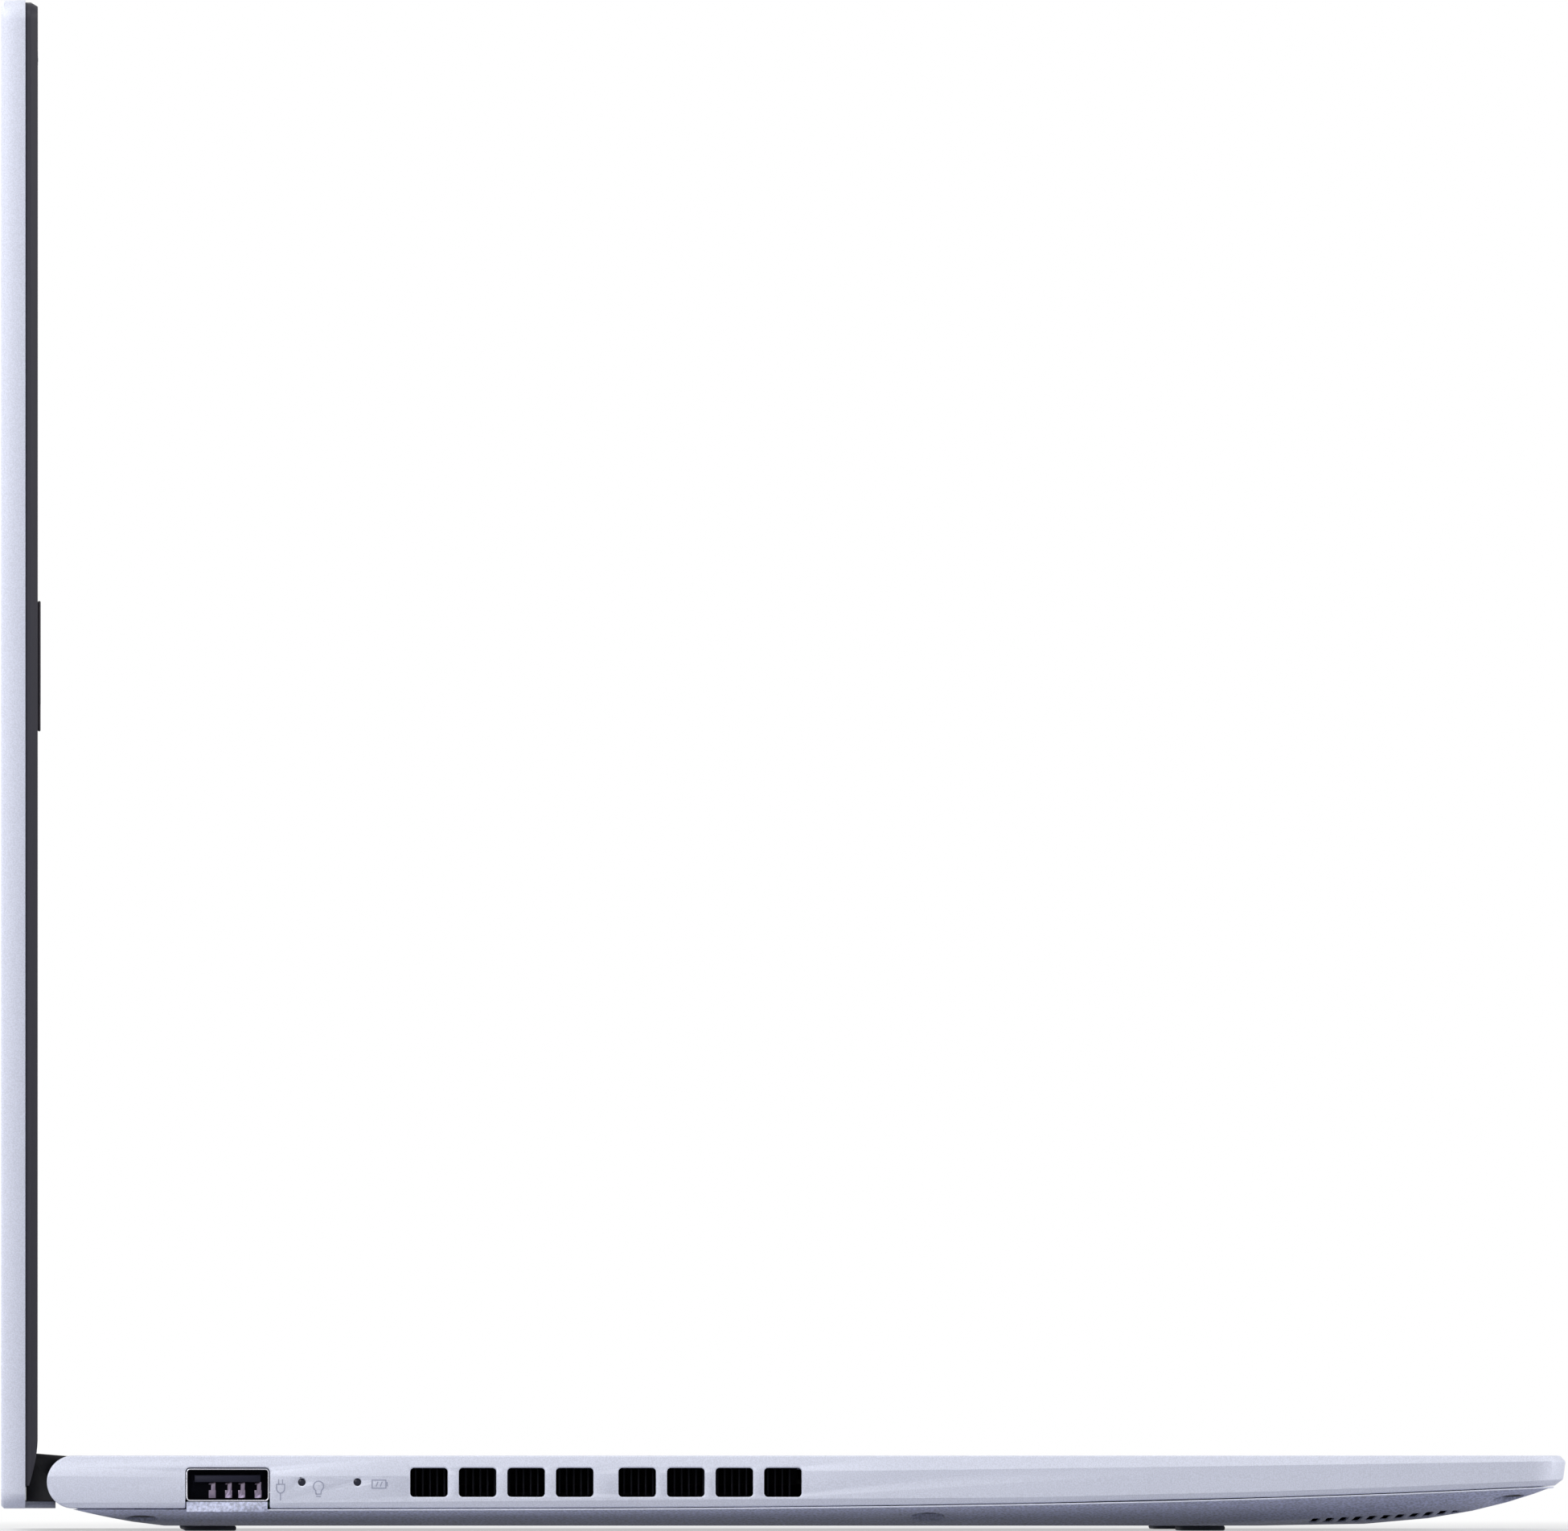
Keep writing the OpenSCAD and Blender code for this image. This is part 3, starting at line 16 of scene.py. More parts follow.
import bmesh
import bpy
from mathutils import Matrix, Vector
from mathutils.bvhtree import BVHTree
from mathutils.geometry import convex_hull_2d

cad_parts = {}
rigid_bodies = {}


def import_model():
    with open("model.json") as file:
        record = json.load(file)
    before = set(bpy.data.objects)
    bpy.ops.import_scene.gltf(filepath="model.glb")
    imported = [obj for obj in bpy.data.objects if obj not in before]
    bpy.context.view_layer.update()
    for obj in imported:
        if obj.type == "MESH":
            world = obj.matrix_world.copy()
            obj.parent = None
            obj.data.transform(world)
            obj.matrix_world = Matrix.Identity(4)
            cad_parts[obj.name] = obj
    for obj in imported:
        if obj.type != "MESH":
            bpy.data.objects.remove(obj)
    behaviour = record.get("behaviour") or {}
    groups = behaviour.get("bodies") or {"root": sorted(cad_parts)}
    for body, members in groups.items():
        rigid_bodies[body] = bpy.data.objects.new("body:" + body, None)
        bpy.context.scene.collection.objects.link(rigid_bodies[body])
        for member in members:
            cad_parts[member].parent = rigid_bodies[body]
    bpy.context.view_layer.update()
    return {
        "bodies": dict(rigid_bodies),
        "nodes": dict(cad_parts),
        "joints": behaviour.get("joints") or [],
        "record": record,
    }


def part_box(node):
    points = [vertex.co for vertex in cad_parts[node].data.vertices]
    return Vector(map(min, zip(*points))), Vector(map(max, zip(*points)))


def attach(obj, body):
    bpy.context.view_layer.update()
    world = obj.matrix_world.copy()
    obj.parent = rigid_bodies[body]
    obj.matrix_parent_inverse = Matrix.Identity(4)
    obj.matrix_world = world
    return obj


LOG = logging.getLogger("laptop")
MM = 0.001

Rgb = tuple[float, float, float]
Point2 = tuple[float, float]
Point3 = tuple[float, float, float]
Line = Sequence[Point2]


class Side(Enum):
    """A side of the laptop, with the sign of its x."""

    LEFT = -1
    RIGHT = 1


class Axis(Enum):
    """An axis of the frame, with its place in a point."""

    X = 0
    Y = 1
    Z = 2


def linear(red: int, green: int, blue: int) -> Rgb:
    """Turns a display colour of 0 to 255 into the linear colour that a shader takes.

    Args:
        red: Red part, 0 to 255.
        green: Green part, 0 to 255.
        blue: Blue part, 0 to 255.

    Returns:
        The linear red, green and blue.
    """

    def one(value: int) -> float:
        """Linearises one part."""
        share = value / 255
        return share / 12.92 if share <= 0.04045 else ((share + 0.055) / 1.055) ** 2.4

    return one(red), one(green), one(blue)


# ---------------------------------------------------------------- node expressions


class Wire:
    """A node's output, which adds Math nodes when it is used in a Python expression."""

    def __init__(self, tree: bpy.types.NodeTree, socket: bpy.types.NodeSocket) -> None:
        """Wraps one output socket of the tree."""
        self.tree = tree
        self.socket = socket

    def _math(self, operation: str, *values: Wire | float) -> Wire:
        """Adds a Math node that works on the values, and returns its result.

        Args:
            operation: The Math node's operation.
            values: Numbers or Wires, in the order of its inputs.

        Returns:
            The result.
        """
        node = self.tree.nodes.new("ShaderNodeMath")
        node.operation = operation
        for slot, value in zip(node.inputs, values):
            fill(slot, value)
        return Wire(self.tree, node.outputs[0])

    def __add__(self, other: Wire | float) -> Wire:
        """Sum."""
        return self._math("ADD", self, other)

    def __radd__(self, other: float) -> Wire:
        """Sum with a number on the left."""
        return self._math("ADD", other, self)

    def __sub__(self, other: Wire | float) -> Wire:
        """Difference."""
        return self._math("SUBTRACT", self, other)

    def __rsub__(self, other: float) -> Wire:
        """Difference from a number on the left."""
        return self._math("SUBTRACT", other, self)

    def __mul__(self, other: Wire | float) -> Wire:
        """Product."""
        return self._math("MULTIPLY", self, other)

    def __rmul__(self, other: float) -> Wire:
        """Product with a number on the left."""
        return self._math("MULTIPLY", other, self)

    def __abs__(self) -> Wire:
        """The value without its sign."""
        return self._math("ABSOLUTE", self)

    def above(self, limit: Wire | float) -> Wire:
        """1 where the value is above the limit, otherwise 0."""
        return self._math("GREATER_THAN", self, limit)

    def within(self, low: float, high: float) -> Wire:
        """1 where the value lies from low to high, otherwise 0."""
        return self._math("COMPARE", self, (low + high) / 2, (high - low) / 2)

    def clamped(self) -> Wire:
        """The value held between 0 and 1."""
        return self._math("MINIMUM", self._math("MAXIMUM", self, 0.0), 1.0)


def fill(slot: bpy.types.NodeSocket, value: Any) -> None:
    """Links a Wire to an input socket, or sets the socket to a constant.

    Args:
        slot: The input socket.
        value: A Wire or a constant.
    """
    if isinstance(value, Wire):
        value.tree.links.new(value.socket, slot)
    else:
        slot.default_value = value


class NodeSheet:
    """A node tree under construction, with one method for any node."""

    def __init__(self, tree: bpy.types.NodeTree) -> None:
        """Starts with the tree empty."""
        self.tree = tree
        tree.nodes.clear()

    def add(self, kind: str, settings: dict[str, Any] | None = None,
            values: dict[str | int, Any] | None = None) -> bpy.types.Node:
        """Adds a node.

        Args:
            kind: Blender's node type.
            settings: Node attributes, set first.
            values: Socket names or numbers, and the number, colour, vector or Wire that each takes.

        Returns:
            The new node.
        """
        made = self.tree.nodes.new(kind)
        for key, value in (settings or {}).items():
            setattr(made, key, value)
        for key, value in (values or {}).items():
            fill(made.inputs[key], value)
        return made

    def node(self, kind: str, settings: dict[str, Any] | None = None,
             values: dict[str | int, Any] | None = None, out: str | int = 0) -> Wire:
        """Adds a node with those settings and values, and returns one of its outputs."""
        return Wire(self.tree, self.add(kind, settings, values).outputs[out])

    def mix_shaders(self, factor: Wire, first: Wire, second: Wire) -> Wire:
        """A shader between two others."""
        return self.node("ShaderNodeMixShader", None, {0: factor, 1: first, 2: second})

    def background_rays(self) -> Wire:
        """1 for rays that show the background: the camera's, reflections and light through clear pieces."""
        camera, glossy, through = (self.node("ShaderNodeLightPath", out=f"Is {kind} Ray")
                                   for kind in ("Camera", "Glossy", "Transmission"))
        return (camera + glossy + through).clamped()


class ShapeNodes(NodeSheet):
    """Geometry nodes under construction, which take a mesh and give one back."""

    def __init__(self, name: str) -> None:
        """Starts the group with its mesh coming in.

        Args:
            name: Name of the group.
        """
        group = bpy.data.node_groups.new(name, "GeometryNodeTree")
        for way in ("INPUT", "OUTPUT"):
            group.interface.new_socket("Geometry", in_out=way, socket_type="NodeSocketGeometry")
        super().__init__(group)
        self.mesh = self.node("NodeGroupInput")

    def turn(self) -> Wire:
        """The angle between the two faces at an edge, in radians."""
        return self.node("GeometryNodeInputMeshEdgeAngle", out="Unsigned Angle")

    def smooth(self) -> None:
        """Shades every face smooth."""
        self.mesh = self.node("GeometryNodeSetShadeSmooth", None, {"Geometry": self.mesh})

    def sharpen(self, chosen: Wire) -> None:
        """Marks the chosen edges as sharp."""
        self.mesh = self.node("GeometryNodeSetShadeSmooth", {"domain": "EDGE"}, {
            "Geometry": self.mesh, "Selection": chosen, "Shade Smooth": False})

    def weigh(self, name: str, weight: Wire) -> None:
        """Stores a number on every edge."""
        self.mesh = self.node("GeometryNodeStoreNamedAttribute", {"data_type": "FLOAT", "domain": "EDGE"}, {
            "Geometry": self.mesh, "Name": name, "Value": weight})

    def close(self) -> bpy.types.NodeTree:
        """Sends the mesh out, and returns the group."""
        self.add("NodeGroupOutput", None, {0: self.mesh})
        return self.tree


class Surface(NodeSheet):
    """A material under construction."""

    def __init__(self, name: str) -> None:
        """Starts a material with only its output and a Principled shader.

        Args:
            name: Name of the material.
        """
        self.material = bpy.data.materials.new(name)
        self.material.use_nodes = True
        super().__init__(self.material.node_tree)
        self.output = self.add("ShaderNodeOutputMaterial")
        self.shader = self.add("ShaderNodeBsdfPrincipled")
        self.show(Wire(self.tree, self.shader.outputs[0]))

    def show(self, shader: Wire) -> None:
        """Makes a shader the material's surface."""
        fill(self.output.inputs["Surface"], shader)

    def feed(self, socket: str, value: Wire | float | Sequence[float]) -> None:
        """Links or sets one of the Principled shader's sockets."""
        fill(self.shader.inputs[socket], value)

    def place(self) -> Wire:
        """The surface point in the piece's own space, which is the row frame in metres."""
        return self.node("ShaderNodeTexCoord", out="Object")

    def noise(self, grain_mm: float, detail: float = 2.0, rough: float = 0.5,
              place: Wire | None = None) -> Wire:
        """Cloudy noise whose lumps are about grain_mm wide."""
        return self.node("ShaderNodeTexNoise", None, {
            "Vector": place or self.place(), "Scale": 1 / (grain_mm * MM),
            "Detail": detail, "Roughness": rough})

    def flakes(self, grain_mm: float) -> Wire:
        """A random level in each cell, with cells about grain_mm wide."""
        cells = self.node("ShaderNodeTexVoronoi", None, {
            "Vector": self.place(), "Scale": 1 / (grain_mm * MM)}, "Color")
        return self.node("ShaderNodeSeparateColor", None, {0: cells})

    def blend(self, low: Rgb, high: Rgb, level: Wire) -> None:
        """Feeds the base colour, from low to high as the level goes from 0 to 1."""
        self.feed("Base Color", self.node("ShaderNodeMix", {"data_type": "RGBA"}, {
            0: level, 6: (*low, 1.0), 7: (*high, 1.0)}, 2))

    def paint(self, colour: Rgb, darkest: float, lightest: float, level: Wire) -> None:
        """Feeds the colour, times a factor that goes from darkest to lightest with the level."""
        self.blend(shade(colour, darkest), shade(colour, lightest), level)

    def bump(self, height: Wire, strength: float, depth_mm: float) -> None:
        """Feeds a height into the shader's normal."""
        self.feed("Normal", self.node("ShaderNodeBump", None, {
            "Strength": strength, "Distance": depth_mm * MM, "Height": height}))


def shade(colour: Rgb, factor: float) -> Rgb:
    """The colour made lighter or darker by the factor."""
    return colour[0] * factor, colour[1] * factor, colour[2] * factor


# ---------------------------------------------------------------- finishes


@dataclass(frozen=True)
class MetallicPaint:
    """Satin paint with metal flakes, as on the top case and the lid cover."""

    name: str
    colour: Rgb
    metallic: float = 0.15
    roughness: float = 0.56
    flake_mm: float = 0.2
    flake_contrast: float = 0.1
    relief: float = 0.12
    relief_mm: float = 0.02
    roughness_spread: float = 0.12
    sharpness: float = 3.0
    cloud_mm: float = 9.0
    cloud_share: float = 0.25

    def make(self) -> bpy.types.Material:
        """Builds the material.

        Returns:
            The material.
        """
        s = Surface(self.name)
        flake = (self.sharpness * (s.noise(self.flake_mm, 1.0) - 0.5) + 0.5).clamped()
        level = (1 - self.cloud_share) * flake + self.cloud_share * s.noise(self.cloud_mm, 3.0)
        s.paint(self.colour, 1 - self.flake_contrast, 1 + self.flake_contrast, level.clamped())
        s.feed("Roughness", self.roughness - self.roughness_spread / 2 + self.roughness_spread * flake)
        s.feed("Metallic", self.metallic)
        s.bump(flake, self.relief, self.relief_mm)
        return s.material


@dataclass(frozen=True)
class MouldedPlastic:
    """Moulded plastic with a spark-eroded grain."""

    name: str
    colour: Rgb
    roughness: float = 0.55
    grain_mm: float = 0.35
    relief: float = 0.25
    mottle: float = 0.06
    specular: float = 0.5
    relief_mm: float = 0.04
    roughness_spread: float = 0.16
    cloud_mm: float = 14.0
    cloud_share: float = 0.3

    def make(self) -> bpy.types.Material:
        """Builds the material.

        Returns:
            The material.
        """
        s = Surface(self.name)
        grain = s.noise(self.grain_mm, 3.0, 0.6)
        level = (1 - self.cloud_share) * grain + self.cloud_share * s.noise(self.cloud_mm)
        s.paint(self.colour, 1 - self.mottle, 1 + self.mottle, level.clamped())
        s.feed("Roughness", self.roughness - self.roughness_spread / 2 + self.roughness_spread * grain)
        s.feed("Specular IOR Level", self.specular)
        s.bump(grain, self.relief, self.relief_mm)
        return s.material


@dataclass(frozen=True)
class BareMetal:
    """Plated, pressed or blackened metal with fine drawn lines."""

    name: str
    colour: Rgb
    roughness: float = 0.3
    metallic: float = 1.0
    line_mm: float = 0.25
    stretch: float = 0.12
    roughness_spread: float = 0.2
    relief: float = 0.15
    relief_mm: float = 0.02

    def make(self) -> bpy.types.Material:
        """Builds the material.

        Returns:
            The material.
        """
        s = Surface(self.name)
        stretched = s.node("ShaderNodeMapping", None, {
            "Vector": s.place(), "Scale": (self.stretch, 1.0, 1.0)})
        lines = s.noise(self.line_mm, place=stretched)
        s.paint(self.colour, 0.88, 1.08, lines)
        s.feed("Metallic", self.metallic)
        s.feed("Roughness", self.roughness - self.roughness_spread / 2 + self.roughness_spread * lines)
        s.bump(lines, self.relief, self.relief_mm)
        return s.material


@dataclass(frozen=True)
class ScreenFilm:
    """The dark picture area under its anti-glare film."""

    name: str
    colour: Rgb
    pixel_mm: float = 0.18
    roughness: float = 0.22
    coat: float = 0.25

    def make(self) -> bpy.types.Material:
        """Builds the material.

        Returns:
            The material.
        """
        s = Surface(self.name)
        sparkle = s.flakes(self.pixel_mm)
        s.paint(self.colour, 0.8, 1.25, sparkle)
        s.feed("Roughness", self.roughness + 0.06 * sparkle)
        s.feed("Specular IOR Level", 0.45)
        s.feed("Coat Weight", self.coat)
        s.feed("Coat Roughness", 0.3)
        s.bump(sparkle, 0.08, 0.01)
        return s.material


@dataclass(frozen=True)
class CircuitLacquer:
    """Lacquered circuit board with copper runs showing faintly."""

    name: str
    colour: Rgb
    runs_per_m: float = 300.0
    run_width: float = 0.06

    def make(self) -> bpy.types.Material:
        """Builds the material.

        Returns:
            The material.
        """
        s = Surface(self.name)
        s.feed("Base Color", s.node("ShaderNodeTexBrick", {"offset": 0.5}, {
            "Vector": s.place(), "Scale": self.runs_per_m, "Mortar Size": self.run_width,
            "Color1": (*self.colour, 1.0), "Color2": (*shade(self.colour, 1.3), 1.0),
            "Mortar": (*shade(self.colour, 1.9), 1.0)}))
        s.feed("Roughness", 0.3 + 0.1 * s.noise(3.0))
        s.feed("Coat Weight", 0.4)
        return s.material


@dataclass(frozen=True)
class LightLens:
    """Smoky light guide, unlit."""

    name: str
    colour: Rgb
    cloud_mm: float = 0.6

    def make(self) -> bpy.types.Material:
        """Builds the material.

        Returns:
            The material.
        """
        s = Surface(self.name)
        cloud = s.noise(self.cloud_mm)
        s.paint(self.colour, 0.9, 1.0, cloud)
        s.feed("Roughness", 0.25 + 0.1 * cloud)
        s.feed("Specular IOR Level", 0.3)
        return s.material


@dataclass(frozen=True)
class PrintedInk:
    """Flat ink of a printed mark or key legend."""

    name: str
    colour: Rgb
    speck_mm: float = 0.12

    def make(self) -> bpy.types.Material:
        """Builds the material.

        Returns:
            The material.
        """
        s = Surface(self.name)
        speck = s.noise(self.speck_mm, 3.0)
        s.paint(self.colour, 0.9, 1.05, speck)
        s.feed("Roughness", 0.5 + 0.1 * speck)
        return s.material


def rubber(name: str, colour: Rgb) -> MouldedPlastic:
    """Matt rubber of a colour."""
    return MouldedPlastic(name, colour, roughness=0.75, grain_mm=0.4, relief=0.3, mottle=0.08, specular=0.3)


Finish = MetallicPaint | MouldedPlastic | BareMetal | ScreenFilm | CircuitLacquer | LightLens | PrintedInk

FINISHES: dict[str, Finish] = {
    "silver_shell": MetallicPaint("silver_paint", linear(222, 225, 238)),
    "silver_cover": MetallicPaint(
        "silver_cover_grain", linear(206, 210, 232), metallic=0.05, roughness=0.62, flake_mm=0.45,
        flake_contrast=0.36, relief=0.5, relief_mm=0.06),
    "touchpad_surface": MetallicPaint(
        "touchpad_satin", linear(204, 208, 220), metallic=0.1, roughness=0.42, flake_mm=0.12,
        flake_contrast=0.03, relief=0.06),
    "black_plastic": MouldedPlastic(
        "black_moulding", linear(34, 34, 40), roughness=0.5, grain_mm=0.25, relief=0.2, mottle=0.1),
    "bezel": MouldedPlastic(
        "bezel_moulding", linear(48, 47, 55), grain_mm=0.3, mottle=0.08, specular=0.25),
    "black_rubber": rubber("black_rubber", linear(70, 66, 72)),
    "foot_rubber": rubber("foot_rubber", linear(96, 98, 106)),
    "socket_tongue": MouldedPlastic("tongue_plastic", linear(30, 30, 44), roughness=0.6, specular=0.15),
    "battery_wrap": MouldedPlastic(
        "battery_film", linear(36, 37, 40), roughness=0.35, grain_mm=1.2, relief=0.2),
    # Near-black fins and heat pipe: blackened metal, and painted shade so that the vents read dark inside.
    "black_metal": MouldedPlastic("near_black_fins_and_vent_shade", linear(8, 8, 15), roughness=0.7, specular=0.1),
    # Near-black cloth in the speaker slots: painted shade that stands in for the slots' shadowed insides.
    "speaker_cloth_and_slot_shade": MouldedPlastic(
        "speaker_cloth_and_slot_shade", linear(13, 13, 20), roughness=0.8, grain_mm=0.3, relief=0.4, specular=0.0),
    "duct_film": MouldedPlastic(
        "black_duct_film", linear(14, 14, 20), roughness=0.6, grain_mm=0.8, specular=0.15),
    "cable_jacket": MouldedPlastic("cable_tape", linear(48, 48, 52), roughness=0.6, grain_mm=1.0),
    "key_plastic": MouldedPlastic("key_cap", linear(58, 59, 64), grain_mm=0.22, relief=0.3),
    "dark_screws": BareMetal("blackened_steel", linear(40, 41, 48), roughness=0.5, metallic=0.4),
    "steel": BareMetal("pressed_steel", linear(170, 172, 178), roughness=0.35),
    # Black keyboard plate: a black coat, and painted shade where its edge shows through the vents.
    "black_steel": BareMetal("black_coated_steel_and_vent_shade", linear(30, 30, 34), roughness=0.6, metallic=0.2),
    "socket_metal": BareMetal("plated_shell", linear(196, 196, 204), roughness=0.25),
    "contact_metal": BareMetal("plated_contact", linear(138, 127, 145), roughness=0.35),
    "backlight": BareMetal("backlight_tray", linear(180, 182, 186), roughness=0.5),
    "antenna_foil": BareMetal("antenna_foil", linear(206, 178, 120), roughness=0.4),
    "circuit_board": CircuitLacquer("circuit_lacquer", linear(24, 66, 52)),
    "light_guide": LightLens("light_guide", linear(30, 33, 50)),
    "screen_glass": ScreenFilm("screen_film", linear(20, 20, 24)),
    "camera_glass": ScreenFilm("camera_window", linear(14, 14, 20), pixel_mm=0.5),
    "legend": PrintedInk("key_legend", linear(214, 216, 222)),
    "side_mark": PrintedInk("side_mark", linear(172, 175, 194)),
}

# ---------------------------------------------------------------- making pieces


@dataclass(frozen=True)
class EdgeRound:
    """How a piece's edges are rounded. Angles are in degrees."""

    radius_mm: float
    steps: int = 2
    angle: float = 32.0  # Edges that turn less stay as they are.
    weld_mm: float = 0.001  # Corners closer than this become one.
    flat_angle: float = 0.6  # Faces that differ less are joined.
    clamp: bool = True  # Whether short edges hold the radius back.
    upright_crease: float = 24.0  # Upright edges that turn less are shaded smooth.
    level_crease: float = 24.0  # The same for the other edges.
    spared_x_mm: Point2 | None = None  # Span of a zone whose edges stay as they are.
    spared_y_mm: Point2 = (0.0, 0.0)


class Draft:
    """A mesh under construction, in millimetres of the row frame."""

    def __init__(self) -> None:
        """Starts an empty mesh."""
        self.mesh = bmesh.new()

    def solid(self, near: Sequence[Vector], far: Sequence[Vector]) -> None:
        """Closes a solid between two matching outlines.

        Args:
            near: One outline, in order round its edge.
            far: The outline across from it, in the same order.
        """
        ends = [[self.mesh.verts.new(point) for point in outline] for outline in (near, far)]
        count = len(near)
        self.mesh.faces.new(ends[0])
        self.mesh.faces.new(list(reversed(ends[1])))
        for i in range(count):
            j = (i + 1) % count
            self.mesh.faces.new((ends[0][j], ends[0][i], ends[1][i], ends[1][j]))

    def prism(self, outline: Line, axis: Axis, start: float, end: float) -> None:
        """Extrudes a flat outline along an axis.

        Args:
            outline: Points in the plane across the axis, in the order of the two other axes.
            axis: The axis.
            start: Where the prism begins along the axis.
            end: Where it ends.
        """

        def at(point: Point2, level: float) -> Vector:
            """Places one point at a level along the axis."""
            return Vector((*point[:axis.value], level, *point[axis.value:]))

        self.solid([at(p, start) for p in outline], [at(p, end) for p in outline])

    def lathe(self, profile: Line, centre: Vector, axis: Vector, steps: int = 32) -> None:
        """Turns a profile round an axis.

        Args:
            profile: (distance along the axis, radius) points. A radius of 0 closes an end.
            centre: Where the axis starts.
            axis: Direction of the axis.
            steps: Number of steps round.
        """
        turn = axis.normalized().to_track_quat("Z", "Y").to_matrix()
        rings: list[list[bmesh.types.BMVert]] = []
        for along, radius in profile:
            if radius == 0:
                rings.append([self.mesh.verts.new(centre + turn @ Vector((0, 0, along)))])
                continue
            rings.append([self.mesh.verts.new(centre + turn @ Vector((x, y, along)))
                          for x, y in arc(radius, radius, steps=steps)[:steps]])
        for low, high in zip(rings, rings[1:]):
            for i in range(steps):
                j = (i + 1) % steps
                corners = [low[i % len(low)], low[j % len(low)], high[j % len(high)], high[i % len(high)]]
                self.mesh.faces.new([v for n, v in enumerate(corners) if v not in corners[:n]])


def arc(across: float, up: float, middle: Point2 = (0.0, 0.0), start: float = 0.0, turn: float = 360.0,
        steps: int = 20) -> list[Point2]:
    """Points round an ellipse or a part of it.

    Args:
        across: Half width.
        up: Half height. A negative one turns the other way round.
        middle: The centre.
        start: Where the arc starts, in degrees.
        turn: How far it goes, in degrees.
        steps: Number of steps.

    Returns:
        The points, with both ends.
    """
    angles = [math.radians(start + turn * i / steps) for i in range(steps + 1)]
    return [(middle[0] + across * math.cos(a), middle[1] + up * math.sin(a)) for a in angles]


